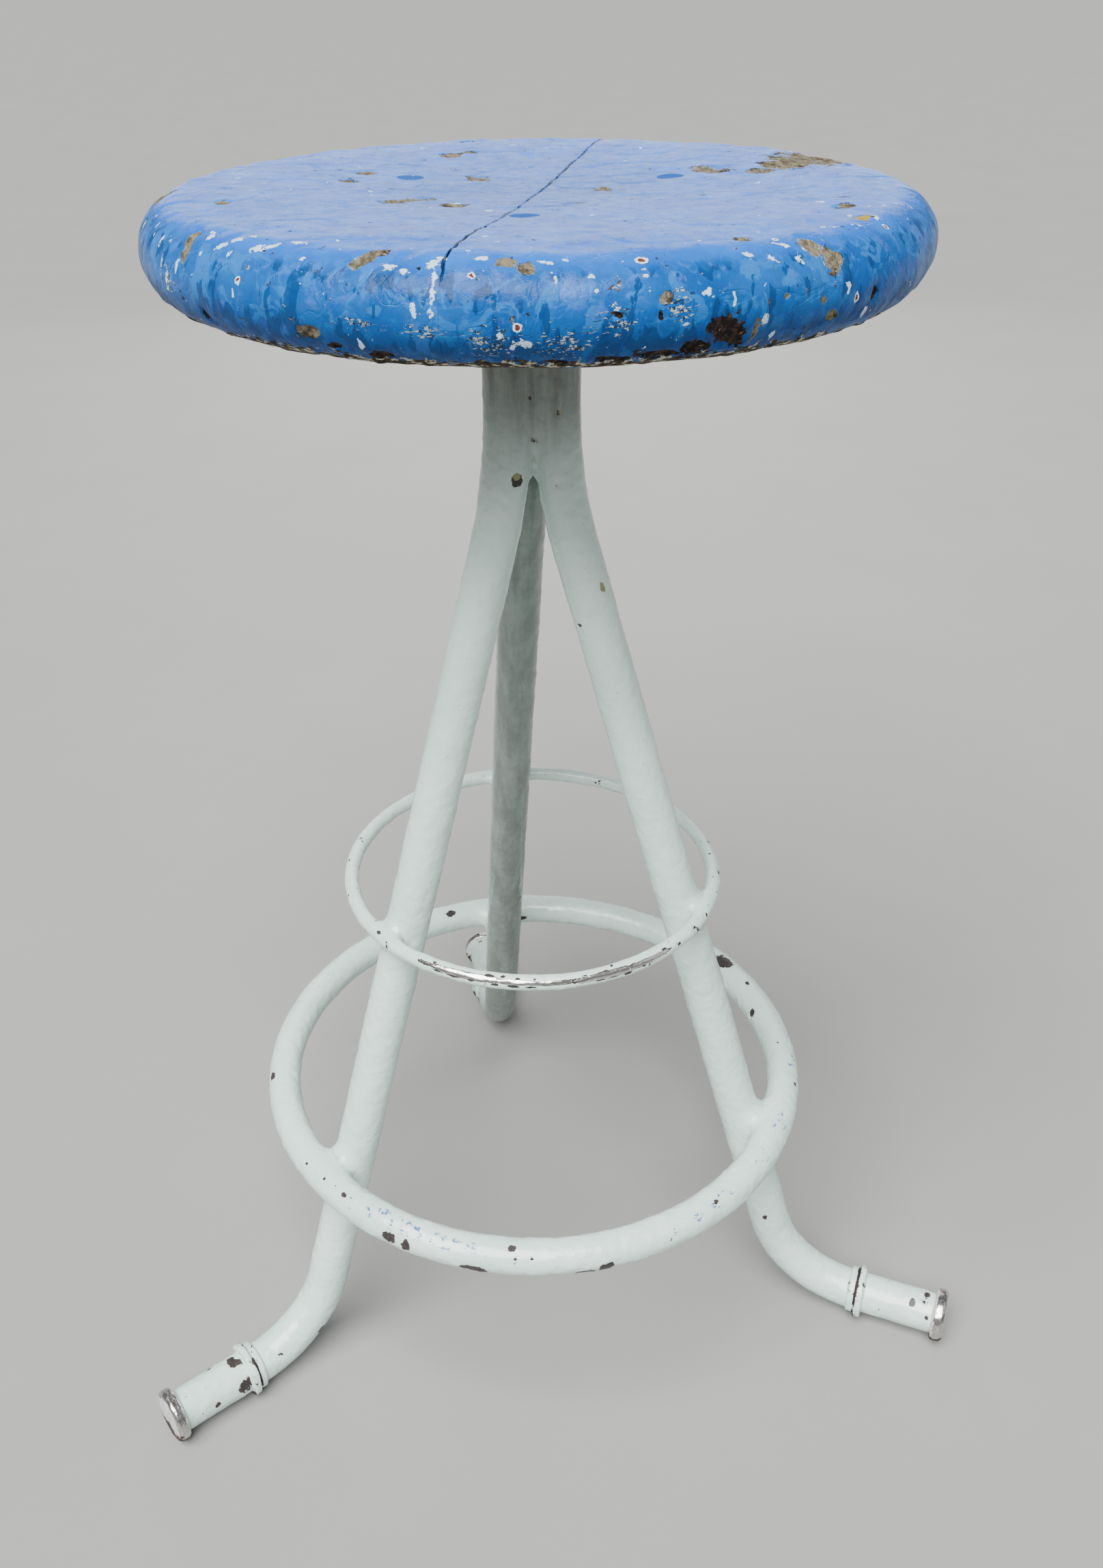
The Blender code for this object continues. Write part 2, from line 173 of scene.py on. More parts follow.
def leg_centreline(spacing):
    """(reach, height) points down a leg's centre, in the plane of the leg."""
    corners = np.array([
        (BUNDLE_RADIUS, LEG_TOP), (BUNDLE_RADIUS, SHOULDER_HEIGHT),
        (ANKLE_REACH, FOOT_HEIGHT), (FOOT_REACH, FOOT_HEIGHT),
    ])
    points, here = [], corners[0]
    for corner, following, radius in zip(corners[1:], corners[2:], (SHOULDER_BEND, ANKLE_BEND)):
        arriving, leaving = unit(corner - here), unit(following - corner)
        turn = np.arccos(arriving @ leaving)
        start = corner - arriving * radius * tan(turn / 2)
        steps = max(1, round(np.linalg.norm(start - here) / spacing))
        points += [here + (start - here) * step / steps for step in range(steps)]
        inward = unit(leaving - arriving * (arriving @ leaving))
        steps = max(4, round(radius * turn / spacing))
        for step in range(steps):
            angle = turn * step / steps
            points.append(start + arriving * radius * sin(angle) + inward * radius * (1 - cos(angle)))
        here = corner + leaving * radius * tan(turn / 2)
    steps = max(1, round(np.linalg.norm(corners[-1] - here) / spacing))
    points += [here + (corners[-1] - here) * step / steps for step in range(steps + 1)]
    return np.array(points)


COARSE_LEG = leg_centreline(15 * MM)


def leg_directions(azimuth):
    outward = np.array([cos(azimuth), sin(azimuth), 0.0])
    return outward, np.array([-sin(azimuth), cos(azimuth), 0.0])


def leg_distance(points, azimuth):
    """Distance from the surface of one leg."""
    outward, sideways = leg_directions(azimuth)
    local = points - AXIS
    flat = np.stack([local @ outward, points[:, 2]], axis=1)
    starts, runs = COARSE_LEG[:-1], np.diff(COARSE_LEG, axis=0)
    along = np.einsum("psk,sk->ps", flat[:, None] - starts, runs) / (runs ** 2).sum(1)
    nearest = starts + np.clip(along, 0, 1)[..., None] * runs
    in_plane = ((flat[:, None] - nearest) ** 2).sum(2).min(1)
    return np.sqrt(in_plane + (local @ sideways) ** 2) - TUBE_RADIUS


def ring_distance(points, size):
    """Distance from the surface of a ring round the stool's axis."""
    radius, height, bar = size
    reach = np.hypot(points[:, 0] - AXIS[0], points[:, 1] - AXIS[1]) - radius
    return np.hypot(reach, points[:, 2] - height) - bar


def footrest_distance(points):
    return ring_distance(points, FOOTREST)


def upper_distance(points):
    return ring_distance(points, UPPER_RING)


def plate_distance(points):
    return plate_low.z - points[:, 2]


def wide(amount):
    """A fillet of the same width everywhere."""
    return lambda points: np.full(len(points), amount)


def leg_neighbours(width, but=None):
    """The legs that a piece meets, all but one of them, with the width of the fillets there."""
    return [
        (lambda points, azimuth=azimuth: leg_distance(points, azimuth), width)
        for side, azimuth in LEG_AZIMUTHS.items() if side != but
    ]


def crease_fill(points):
    """The legs' creases are filled above the height where they part."""
    return 2.2 * MM + 7.5 * MM * ramp(points[:, 2], 547 * MM, 561 * MM)


def bridged(points, normals, neighbours, reach=9 * MM):
    """How far out weld metal and paint stand along the normals, where a piece meets its neighbours.

    Also says how near each point is to the crease between the two pieces, from 0 to 1."""
    out = np.zeros(len(points))
    near = np.zeros(len(points), bool)
    for distance, width in neighbours:
        near |= distance(points) < width(points) + 2 * MM
    if not near.any():
        return out, out
    start, facing, own = points[near], normals[near], np.zeros(near.sum())
    widths = [width(start) for _, width in neighbours]
    for _ in range(9):
        here = start + facing * own[:, None]
        level = own.copy()
        for (distance, _), width in zip(neighbours, widths):
            level = smooth_union(level, distance(here), width)
        own = np.clip(own - level, 0, reach)
    here = start + facing * own[:, None]
    nearest = np.min([distance(here) for distance, _ in neighbours], axis=0)
    crease = np.zeros(len(points))
    crease[near] = (1 - ramp(np.abs(own - nearest), 0, 2.5 * MM)) * ramp(own, 0.2 * MM, 1.2 * MM)
    out[near] = own - 0.5 * MM * ramp(own - nearest, 0.1 * MM, 1.5 * MM)
    return out, crease


def paint_lumps(points):
    """The uneven thickness of many coats of paint."""
    bumps = np.clip(noise(points, 3.8 * MM, 3) - 0.35, 0, 1)
    return lumps(points, [(0.24, 12, 1), (0.16, 5.5, 2)]) + 0.70 * MM * bumps


# ---------------------------------------------------------------- meshes

def loop_faces(rows, columns, closed_rows=False):
    """Quads of a sheet of rows that each close on themselves."""
    last = rows if closed_rows else rows - 1
    row, column = np.meshgrid(np.arange(last), np.arange(columns), indexing="ij")
    across = (column + 1) % columns
    below = (row + 1) % rows
    corners = [(row, column), (row, across), (below, across), (below, column)]
    quads = [level * columns + turn for level, turn in corners]
    return np.stack(quads, axis=-1).reshape(-1, 4).tolist()


def closed_ends(points, normals, columns):
    """A tube's points and normals with one more point, which stays put, at the middle of each end.

    The third result is the triangles round those two points."""
    count = len(points)
    ends = np.array([points[:columns].mean(0), points[-columns:].mean(0)])
    around = np.arange(columns)
    following, last = np.roll(around, -1), around + count - columns
    first_fan = np.column_stack([around, following, np.full(columns, count)])
    last_fan = np.column_stack([following + count - columns, last, np.full(columns, count + 1)])
    points, normals = np.concatenate([points, ends]), np.concatenate([normals, np.zeros((2, 3))])
    return points, normals, first_fan.tolist() + last_fan.tolist()


def frame_marks(count, **given):
    """The numbers that the frame's paint reads at each point, none of them set but those given."""
    # One of these marks is painted shade: how dark the frame is painted where the seat shades it.
    unset = {
        "crease": 0.0, "chip": -1.0, "khaki": -1.0, "scuff": -2.0, "rubbed": -2.0, "wear": 0.3, "soot": 0.0,
    }
    return {name: np.zeros(count) + given.get(name, value) for name, value in unset.items()}


def marked_mesh(name, points, faces, marks):
    """A mesh with numbers kept at its points for the material."""
    mesh = bpy.data.meshes.new(name)
    mesh.from_pydata(points.tolist(), [], faces)
    for key, values in marks.items():
        layer = mesh.attributes.new(key, "FLOAT", "POINT")
        layer.data.foreach_set("value", values.astype(np.float32))
    return mesh


def finish_piece(name, mesh, finish, node):
    """A piece of the stool in place of its CAD node."""
    mesh.materials.append(finish)
    piece = bpy.data.objects.new(name, mesh)
    bpy.context.scene.collection.objects.link(piece)
    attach(piece, "root")
    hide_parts(node)


def add_piece(name, points, faces, marks, finish, node):
    """A smooth piece from points and faces."""
    mesh = marked_mesh(name, points, faces, marks)
    bm = bmesh.new()
    bm.from_mesh(mesh)
    bmesh.ops.recalc_face_normals(bm, faces=bm.faces)
    bm.to_mesh(mesh)
    bm.free()
    mesh.shade_smooth()
    finish_piece(name, mesh, finish, node)


def chip_field(points, chips):
    """1 in the middle of a chip, 0 at its edge, less outside.

    A chip is its middle, the direction of its width, and its half-width and half-height."""
    field = np.full(len(points), -1.0)
    for middle, direction, half_width, half_height in chips:
        offset = points - middle
        along = offset @ direction
        rest = np.sqrt(np.maximum((offset ** 2).sum(1) - along ** 2, 0))
        field = np.maximum(field, 1 - np.hypot(along / half_width, rest / half_height))
    return field


# ---------------------------------------------------------------- materials

class Value:
    """An output of a material's nodes, which takes part in sums as a number does."""

    def __init__(self, socket):
        self.socket = socket
        self.tree = socket.id_data

    def __add__(self, other):
        return calc("ADD", self, other)

    def __sub__(self, other):
        return calc("SUBTRACT", self, other)

    def __rsub__(self, other):
        return calc("SUBTRACT", other, self)

    def __mul__(self, other):
        return calc("MULTIPLY", self, other)

    def __neg__(self):
        return self * -1.0

    def __abs__(self):
        return calc("ABSOLUTE", self)


def start_material(name, roughness, metallic=0.0, coat=0.0):
    made = bpy.data.materials.new(name)
    made.use_nodes = True
    tree = made.node_tree
    shader = tree.nodes["Principled BSDF"]
    shader.inputs["Roughness"].default_value = roughness
    shader.inputs["Metallic"].default_value = metallic
    shader.inputs["Coat Weight"].default_value = coat
    shader.inputs["Coat Roughness"].default_value = 0.12
    return made, tree, shader


def feed(shader, name, value):
    value.tree.links.new(value.socket, shader.inputs[name])


def put(tree, kind, inputs=None, **settings):
    """A node with its settings, and its inputs set to numbers or joined to values."""
    node = tree.nodes.new("ShaderNode" + kind)
    for setting, value in settings.items():
        setattr(node, setting, value)
    for key, value in (inputs or {}).items():
        if isinstance(value, Value):
            tree.links.new(value.socket, node.inputs[key])
        else:
            node.inputs[key].default_value = value
    return node


def calc(operation, first, second=0.0):
    tree = first.tree if isinstance(first, Value) else second.tree
    return Value(put(tree, "Math", {0: first, 1: second}, operation=operation).outputs[0])


def vector(operation, first, second, output=0):
    return Value(put(first.tree, "VectorMath", {0: first, 1: second}, operation=operation).outputs[output])


def mix(factor, first, second):
    """Two colours mixed by a factor. Each is a value or a (red, green, blue)."""
    first, second = ((*side, 1) if isinstance(side, tuple) else side for side in (first, second))
    return Value(put(factor.tree, "Mix", {0: factor, 6: first, 7: second}, data_type="RGBA").outputs[2])


def mix_value(factor, first, second):
    return Value(put(factor.tree, "Mix", {0: factor, 2: first, 3: second}, data_type="FLOAT").outputs[0])


def over(value, start, end):
    """0 below start, 1 above end, smooth between."""
    inputs = {"Value": value, "From Min": start, "From Max": end}
    return Value(put(value.tree, "MapRange", inputs, interpolation_type="SMOOTHSTEP").outputs[0])


def largest(*values):
    result = values[0]
    for value in values[1:]:
        result = calc("MAXIMUM", result, value)
    return result


def mark(tree, name):
    """A number kept at the mesh's points."""
    return Value(put(tree, "Attribute", attribute_name=name).outputs["Fac"])


def place(tree, stretch=(1, 1, 1)):
    """The place on the object, in metres, with each axis multiplied by its stretch."""
    coordinates = Value(put(tree, "TexCoord").outputs["Object"])
    return Value(put(tree, "Mapping", {"Vector": coordinates, "Scale": stretch}).outputs[0])


def cloud(where, scale, detail, roughness, distortion=0.0, output=0):
    inputs = {"Scale": scale, "Detail": detail, "Roughness": roughness, "Distortion": distortion}
    return Value(put(where.tree, "TexNoise", {"Vector": where, **inputs}).outputs[output])


def warped(where, scale, amount):
    """The place pushed about by noise, so that spots lose their round outlines."""
    swirl = cloud(where, scale, 2.0, 0.5, output="Color")
    centred = vector("SUBTRACT", swirl, (0.5, 0.5, 0.5))
    return vector("ADD", where, vector("MULTIPLY", centred, (amount, amount, amount)))


def scatter(where, spacing, share, size):
    """Spots of uneven size strewn about, at a share of the points of a jittered grid."""
    spots = put(where.tree, "TexVoronoi", {"Vector": where, "Scale": 1 / spacing})
    chance = put(where.tree, "SeparateColor", {0: Value(spots.outputs["Color"])})
    radius = (Value(chance.outputs[1]) + 0.3) * (size / spacing)
    inside = over(radius - Value(spots.outputs["Distance"]), 0.0, 0.035)
    return inside * calc("LESS_THAN", Value(chance.outputs[0]), share)


def bump(shader, height, depth, strength, below=None):
    inputs = {"Height": height, "Distance": depth, "Strength": strength}
    if below is not None:
        inputs["Normal"] = below
    normal = Value(put(height.tree, "Bump", inputs).outputs[0])
    feed(shader, "Normal", normal)
    return normal


# ---------------------------------------------------------------- the seat's material

def seat_fields(tree):
    """The noises and masks that the seat's layers share."""
    where = place(tree)
    height = Value(put(tree, "SeparateXYZ", {0: where}).outputs[2])
    middling = cloud(where, 150, 4, 0.6)
    fine = cloud(where, 520, 4, 0.65)
    lumpy = middling * 2.4 - 1.2
    ragged = fine * 1.1 - 0.55
    return SimpleNamespace(
        tree=tree, where=where, height=height, middling=middling, fine=fine, lumpy=lumpy, ragged=ragged,
        rough_edge=lumpy * 0.95 + ragged,
        patches=cloud(where, 38, 4, 0.6),
        low=over(height, SEAT_MIDDLE + 2 * MM, SEAT_MIDDLE - 14 * MM),
        side=over(height, SEAT_TOP - 1 * MM, SEAT_TOP - 8 * MM),
    )


def blue_paint(s):
    """Clouded blue, streaked down the rolled edge and darker in its lower half, with painted sheen: a
    lighter top and lilac highlights on the rolled edge.
    """
    clouded = over(s.patches, 0.38, 0.66)
    flames = cloud(s.where, 85, 5, 0.62, 1.3)
    strokes = cloud(place(s.tree, (1, 1, 0.30)), 150, 3, 0.5)
    base = mix(clouded, (0.003, 0.068, 0.275), (0.006, 0.096, 0.345))
    pale = over(flames, 0.50, 0.58) * (s.side * 0.45 + 0.12)
    base = mix(pale, base, (0.020, 0.165, 0.470))
    # Painted highlight: lighter lilac patches on the rolled edge stand for soft reflections.
    side_highlight = over(cloud(s.where, 60, 5, 0.6, 0.8), 0.56, 0.66) * s.side * 0.35
    base = mix(side_highlight, base, (0.070, 0.180, 0.600))
    deep = over(strokes + s.low * 0.09, 0.575, 0.605) * s.side * 0.75
    base = mix(deep, base, (0.003, 0.034, 0.125))
    base = mix(s.low * 0.62, base, (0.002, 0.040, 0.160))
    # Painted sheen: the top is given a lighter blue for the bright reflection it shows in a low view.
    painted_top_sheen = mix(clouded, (0.006, 0.118, 0.530), (0.014, 0.150, 0.610))
    return mix(0.75 - s.side * 0.75, base, painted_top_sheen), strokes


def spilt_paint(s, base):
    """White flecks and runs, and red dots with white rims."""
    loose = warped(s.where, 330, 7 * MM)
    leaning = warped(place(s.tree, (1, 1, 0.40)), 330, 6 * MM)
    flecks = largest(
        scatter(loose, 13 * MM, 0.34, 1.7 * MM),
        scatter(leaning, 7 * MM, 0.24, 1.2 * MM) * mark(s.tree, "rim"),
        scatter(loose, 4 * MM, 0.14, 0.7 * MM) * over(s.patches, 0.48, 0.58),
        over(mark(s.tree, "white") + s.lumpy * 0.8 + s.ragged * 2.6, 0.10, 0.22),
    )
    base = mix(flecks * 0.86, base, (0.54, 0.68, 0.82))
    dot = mark(s.tree, "dot") + s.ragged * 0.9
    base = mix(over(dot, 0.14, 0.20), base, (0.60, 0.68, 0.74))
    return mix(over(dot, 0.44, 0.50), base, (0.110, 0.028, 0.022)), flecks


def wood_chips(s, base):
    """Chips down to grey weathered wood, with a broken pale line of undercoat round them."""
    stray = cloud(s.where, 70, 5, 0.62) * 5.0 - 3.72
    chip = largest(mark(s.tree, "chip") + s.rough_edge, stray)
    undercoat, bare = over(chip, 0.0, 0.04), over(chip, 0.06, 0.10)
    line = mix(over(s.middling, 0.44, 0.56), (0.36, 0.44, 0.50), (0.020, 0.030, 0.050))
    base = mix(undercoat, base, line)
    grain = cloud(place(s.tree, (1.0, 0.35, 1.0)), 330, 5, 0.7, 0.4)
    wood = mix(over(grain, 0.38, 0.62), (0.060, 0.051, 0.034), (0.170, 0.146, 0.100))
    wood = mix(over(s.middling, 0.56, 0.66), wood, (0.030, 0.022, 0.016))
    wood = mix(over(s.fine, 0.61, 0.67), wood, (0.230, 0.215, 0.170))
    wood = mix(over(mark(s.tree, "yellow"), -0.2, 0.2), wood, (0.260, 0.200, 0.040))
    return mix(bare, base, wood), undercoat, bare, grain


def lower_edge(s, base):
    """Flaked fibres, and below them paint broken to cream, brown and black."""
    flaky = mark(s.tree, "flaky")
    fibres = cloud(place(s.tree, (1, 1, 4.0)), 240, 4, 0.6, 0.6)
    flaked = over(fibres + flaky * 0.126, 0.60, 0.63) * over(flaky, -0.4, 0.1)
    base = mix(flaked, base, mix(over(s.fine, 0.47, 0.53), (0.012, 0.026, 0.050), (0.36, 0.42, 0.44)))
    hem = over(mark(s.tree, "hem") + s.lumpy * 0.9 + s.ragged * 1.3, 0.42, 0.50)
    mottle = cloud(place(s.tree, (1, 1, 1.6)), 230, 4, 0.7)
    broken = mix(over(mottle, 0.42, 0.47), (0.012, 0.012, 0.012), (0.060, 0.045, 0.028))
    broken = mix(over(mottle, 0.53, 0.57), broken, (0.400, 0.400, 0.330))
    return mix(hem, base, broken), flaked, hem


def dark_chips(s, base, grain):
    """Chips whose wood has gone nearly black."""
    burnt = over(mark(s.tree, "dark") + s.rough_edge, 0.0, 0.06)
    wood = mix(over(grain, 0.45, 0.64), (0.009, 0.007, 0.007), (0.055, 0.032, 0.024))
    wood = mix(over(s.fine, 0.62, 0.68), wood, (0.120, 0.095, 0.070))
    return mix(burnt, base, wood), burnt


def glue_joint(s, base):
    """The wandering split along the boards' glue joint, on the top only."""
    joint = tuple(SEAT_CENTRE + SEAM_NORMAL * SEAM_OFFSET)
    across = vector("DOT_PRODUCT", vector("SUBTRACT", s.where, joint), tuple(SEAM_NORMAL), "Value")
    across += s.middling * (3.0 * MM) - 1.5 * MM
    across += cloud(s.where, 30, 2, 0.5) * (5.0 * MM) - 2.5 * MM
    on_top = over(s.height, SEAT_TOP - 9 * MM, SEAT_TOP - 6 * MM)
    split = over(abs(across), 0.80 * MM, 0.30 * MM) * on_top * over(s.patches, 0.34, 0.50)
    return mix(split * 0.9, base, (0.006, 0.012, 0.030)), split


def underside(s, base):
    """Stained wood with a ragged edge of paint."""
    under = over(mark(s.tree, "under") + s.rough_edge * 0.5, 0.45, 0.52)
    plank = cloud(place(s.tree, (0.25, 1.0, 1.0)), 90, 5, 0.65, 0.8)
    wood = mix(over(plank, 0.35, 0.65), (0.038, 0.026, 0.018), (0.110, 0.078, 0.052))
    wood = mix(over(s.patches, 0.60, 0.66), wood, (0.020, 0.080, 0.200))
    return mix(under, base, wood), under


def seat_material():
    """Many coats of glossy blue paint on wood, with flecks, ringed dots and chips down to the wood."""
    made, tree, shader = start_material("seat_paint", 0.28)
    shader.inputs["Specular IOR Level"].default_value = 0.12
    s = seat_fields(tree)
    base, strokes = blue_paint(s)
    bolt = over(mark(tree, "bolt"), 0.02, 0.16)
    base = mix(bolt * 0.85, base, (0.004, 0.060, 0.270))
    base, flecks = spilt_paint(s, base)
    base, undercoat, bare, grain = wood_chips(s, base)
    base, flaked, hem = lower_edge(s, base)
    base, burnt = dark_chips(s, base, grain)
    base, split = glue_joint(s, base)
    base, under = underside(s, base)
    feed(shader, "Base Color", base)

    matt = largest(bare, burnt, hem, under, bolt * 0.7)
    gloss = mix_value(over(s.middling, 0.35, 0.65), 0.20, 0.32) + s.low * 0.22
    feed(shader, "Roughness", mix_value(matt, gloss, 0.9))

    # brushed ridges and crinkles, then the steps down into the chips
    crinkle = over(abs(cloud(s.where, 34, 3, 0.5, 0.9) - 0.5), 0.022, 0.0)
    paint = s.middling * 0.55 + strokes * s.side * 0.45 + s.fine * 0.14 - crinkle * 0.12
    brushed = bump(shader, paint, 1.3 * MM, 0.8)
    sunk = matt * (grain * 0.7) - largest(undercoat, burnt, split, hem * 0.7)
    bump(shader, sunk + largest(flecks, flaked) * 0.30, 0.55 * MM, 0.9, brushed)
    return made


# ---------------------------------------------------------------- the frame's materials

def frame_material(name, rust):
    """Thick pale grey-green gloss paint with painted shade under the seat and in the creases, scuffs, dark
    chips and stretches rubbed to steel.
    """
    made, tree, shader = start_material(name, 0.30, coat=0.30)
    where = place(tree)
    broad, middling, fine = cloud(where, 14, 3, 0.5), cloud(where, 150, 4, 0.6), cloud(where, 520, 4, 0.65)
    base = mix(over(broad, 0.35, 0.65), (0.530, 0.685, 0.640), (0.595, 0.740, 0.690))
    base = mix(over(middling, 0.50, 0.75) * 0.35, base, (0.67, 0.78, 0.72))

    # painted shade under the seat, on the rear leg's inner face and in the creases, and blue rubbed off on
    # the footrest
    streaks = cloud(place(tree, (1, 1, 0.12)), 120, 4, 0.6)
    shade_streaks = over(streaks + broad * 0.5 - 0.25, 0.34, 0.62) * 0.16 + 0.84
    # Painted shade: near black where the seat shades the frame, broken into streaks.
    base = mix(mark(tree, "soot") * shade_streaks, base, (0.045, 0.045, 0.035))
    # Painted shade: the creases between pieces are darkened, made patchy by noise.
    crease_shade = mark(tree, "crease") * over(middling, 0.30, 0.70)
    base = mix(crease_shade * 0.55, base, (0.13, 0.13, 0.11))
    rubs = cloud(place(tree, (1, 1, 2.5)), 210, 5, 0.66)
    scuff = over(mark(tree, "scuff"), -0.1, 0.3) * over(rubs, 0.565, 0.577)
    base = mix(scuff * 0.9, base, (0.022, 0.095, 0.310))

    # chips down to dark steel, some of them only to a khaki coat
    ragged = middling * 1.6 - 0.8 + (fine * 0.9 - 0.45)
    stray = (cloud(where, 160, 4, 0.6) + mark(tree, "wear") * 0.08 - 0.745) * 7.0
    chip = largest(mark(tree, "chip") + ragged, stray)
    bare = over(chip, 0.04, 0.10)
    base = mix(over(chip, -0.02, 0.05), base, (0.30, 0.31, 0.29))
    base = mix(bare, base, mix(over(fine, 0.46, 0.62), (0.014, 0.012, 0.012), rust))
    base = mix(over(mark(tree, "khaki") + ragged, 0.0, 0.06), base, (0.240, 0.225, 0.105))

    # bright steel with a jagged dark edge
    worn = mark(tree, "rubbed") + ragged * 0.65
    rubbed = over(worn, 0.10, 0.15)
    jagged = largest(over(worn, -0.08, -0.03) - rubbed, 0.0)
    base = mix(jagged, base, (0.035, 0.028, 0.026))
    feed(shader, "Base Color", mix(rubbed, base, (0.62, 0.60, 0.57)))
    feed(shader, "Metallic", rubbed)
    gloss = mix_value(over(middling, 0.35, 0.65), 0.20, 0.34)
    feed(shader, "Roughness", mix_value(rubbed, mix_value(bare, gloss, 0.7), 0.24))

    peel = cloud(where, 175, 1.4, 0.45)
    pimples = scatter(warped(where, 300, 3 * MM), 8 * MM, 0.40, 1.0 * MM)
    skin = bump(shader, peel + fine * 0.05 + pimples * 0.35, 0.9 * MM, 0.8)
    bump(shader, -largest(bare, rubbed), 0.35 * MM, 0.8, skin)
    return made


def fastener_material():
    """Dull steel, mostly gone brown."""
    made, tree, shader = start_material("fastener_steel", 0.4, metallic=1.0)
    where = place(tree)
    middling, fine = cloud(where, 180, 5, 0.65), cloud(where, 700, 4, 0.6)
    bright = mix(over(fine, 0.35, 0.65), (0.42, 0.40, 0.38), (0.62, 0.60, 0.57))
    rust = mix(over(fine, 0.40, 0.60), (0.050, 0.026, 0.018), (0.150, 0.066, 0.036))
    rusted = over(middling + 0.12, 0.46, 0.58)
    feed(shader, "Base Color", mix(rusted, bright, rust))
    feed(shader, "Metallic", mix_value(rusted, 1.0, 0.15))
    feed(shader, "Roughness", mix_value(rusted, 0.28, 0.8))
    bump(shader, rusted * middling + fine * 0.2, 0.4 * MM, 0.7)
    return made


def cap_material():
    """The foot caps: painted face and flank, rim rubbed bright, rust below."""
    made, tree, shader = start_material("cap_paint_and_rust", 0.35)
    where = place(tree)
    middling, fine = cloud(where, 190, 4, 0.65), cloud(where, 640, 4, 0.6)
    ragged = middling * 2.6 - 1.3
    paint = mix(over(middling, 0.35, 0.65), (0.44, 0.47, 0.46), (0.60, 0.63, 0.62))
    bright = mix(over(fine, 0.35, 0.65), (0.46, 0.44, 0.42), (0.66, 0.64, 0.61))
    rust = mix(over(fine, 0.40, 0.60), (0.022, 0.015, 0.013), (0.052, 0.030, 0.023))
    rubbed = over(mark(tree, "rubbed") + ragged, 0.30, 0.42)
    pitted = over(cloud(where, 130, 4, 0.6), 0.59, 0.63)
    rusted = largest(over(mark(tree, "below") + ragged, 0.35, 0.45), rubbed * pitted)
    feed(shader, "Base Color", mix(rusted, mix(rubbed, paint, bright), rust))
    feed(shader, "Metallic", rubbed * (1.0 - rusted))
    feed(shader, "Roughness", mix_value(rusted, mix_value(rubbed, 0.34, 0.22), 0.75))
    surface = middling * 0.6 + fine * 0.2 - largest(rubbed, rusted) * 0.5
    bump(shader, surface, 0.5 * MM, 0.8)
    return made


SEAT_PAINT = seat_material()
FRAME_PAINT = frame_material("frame_paint", (0.036, 0.022, 0.018))
RING_PAINT = frame_material("ring_paint", (0.030, 0.024, 0.022))
CAP_PAINT = cap_material()
FASTENER_STEEL = fastener_material()


# ---------------------------------------------------------------- the seat

def seat_surface(radius):
    """Height of the seat's top at a distance from its middle."""
    slope = np.clip((radius - FLAT_RADIUS) / (DISH_RADIUS - FLAT_RADIUS), 0, 1)
    return SEAT_TOP - DISH_DEPTH * (1 + np.cos(pi * slope)) / 2


def seat_point(azimuth, along):
    """The place on the seat at a distance along the surface from the middle of its top."""
    if along <= CREST_RADIUS:
        radius, height = along, float(seat_surface(along))
    else:
        turn = pi / 2 - (along - CREST_RADIUS) / EDGE_RADIUS
        radius = CREST_RADIUS + EDGE_RADIUS * cos(turn)
        height = SEAT_MIDDLE + EDGE_RADIUS * sin(turn)
    return SEAT_CENTRE + np.array([radius * cos(azimuth), radius * sin(azimuth), height])


def seat_chips(spots):
    """Chips from (azimuth, distance along the surface, half-width, half-height, lean), degrees and mm."""
    chips = []
    for azimuth, along, half_width, half_height, lean in spots:
        angle, middle = radians(azimuth), seat_point(radians(azimuth), along * MM)
        level = np.array([-sin(angle), cos(angle), 0.0])
        uphill = unit(seat_point(angle, (along - 1) * MM) - middle)
        axis = level * cos(radians(lean)) + uphill * sin(radians(lean))
        chips.append((middle, axis, half_width * MM, half_height * MM))
    return chips


# Each spot is (azimuth, distance along the surface from the seat's middle, half-width, half-height, lean),
# in degrees and mm. A lean turns the width from level towards uphill on the azimuth's rising side.
WOOD_CHIPS = [
    (6, 116, 6, 8, 0), (11, 134, 13, 13, 0), (15, 150, 20, 16, 0), (18, 167, 24, 15, 0),
    (20, 181, 18, 12, 0), (17, 98, 11, 7, 0), (20, 101, 6, 5, 0), (-163, 74, 5, 6, 0),
    (-165, 63, 4, 7, 0), (-168, 55, 6, 5, 0), (104, 116, 7, 6, 0), (98, 122, 4, 4, 0), (117, 48, 5, 8, 0),
    (-140, 56, 6, 6, 0), (-2, 33, 6, 5, 0), (142, 98, 4, 5, 0), (158, 96, 5, 5, 0), (-76, 45, 5, 2, 0),
    (-120.5, 179, 10, 3.4, 52), (-102.5, 178, 5, 3, 0), (-100, 181, 4, 3.5, 0), (-152, 182, 3, 6, 0),
    (-151, 189, 3, 6, 0), (-61.8, 180, 4.8, 8, 12), (-59.6, 189, 5.4, 6, 0), (-70, 168, 3.5, 3.5, 0),
    (-39, 154, 7, 4, 0), (-127, 211, 6, 2.6, 0), (-84, 196, 3, 2, 40), (-60, 211, 2.6, 3, 90),
    (-62, 204, 1.8, 1.8, 0), (-72, 213, 1.4, 7, 0), (-68, 200, 1.8, 1.6, 0), (60, 190, 9, 5, 20),
    (150, 196, 8, 5, 0), (175, 178, 10, 5, -20), (98, 205, 12, 5, 0), (35, 208, 9, 5, 0),
    (-170, 150, 7, 4, 0),
]
YELLOW_CHIPS = [(-46, 171, 5, 3.4, 0), (128, 186, 4, 3, 0)]
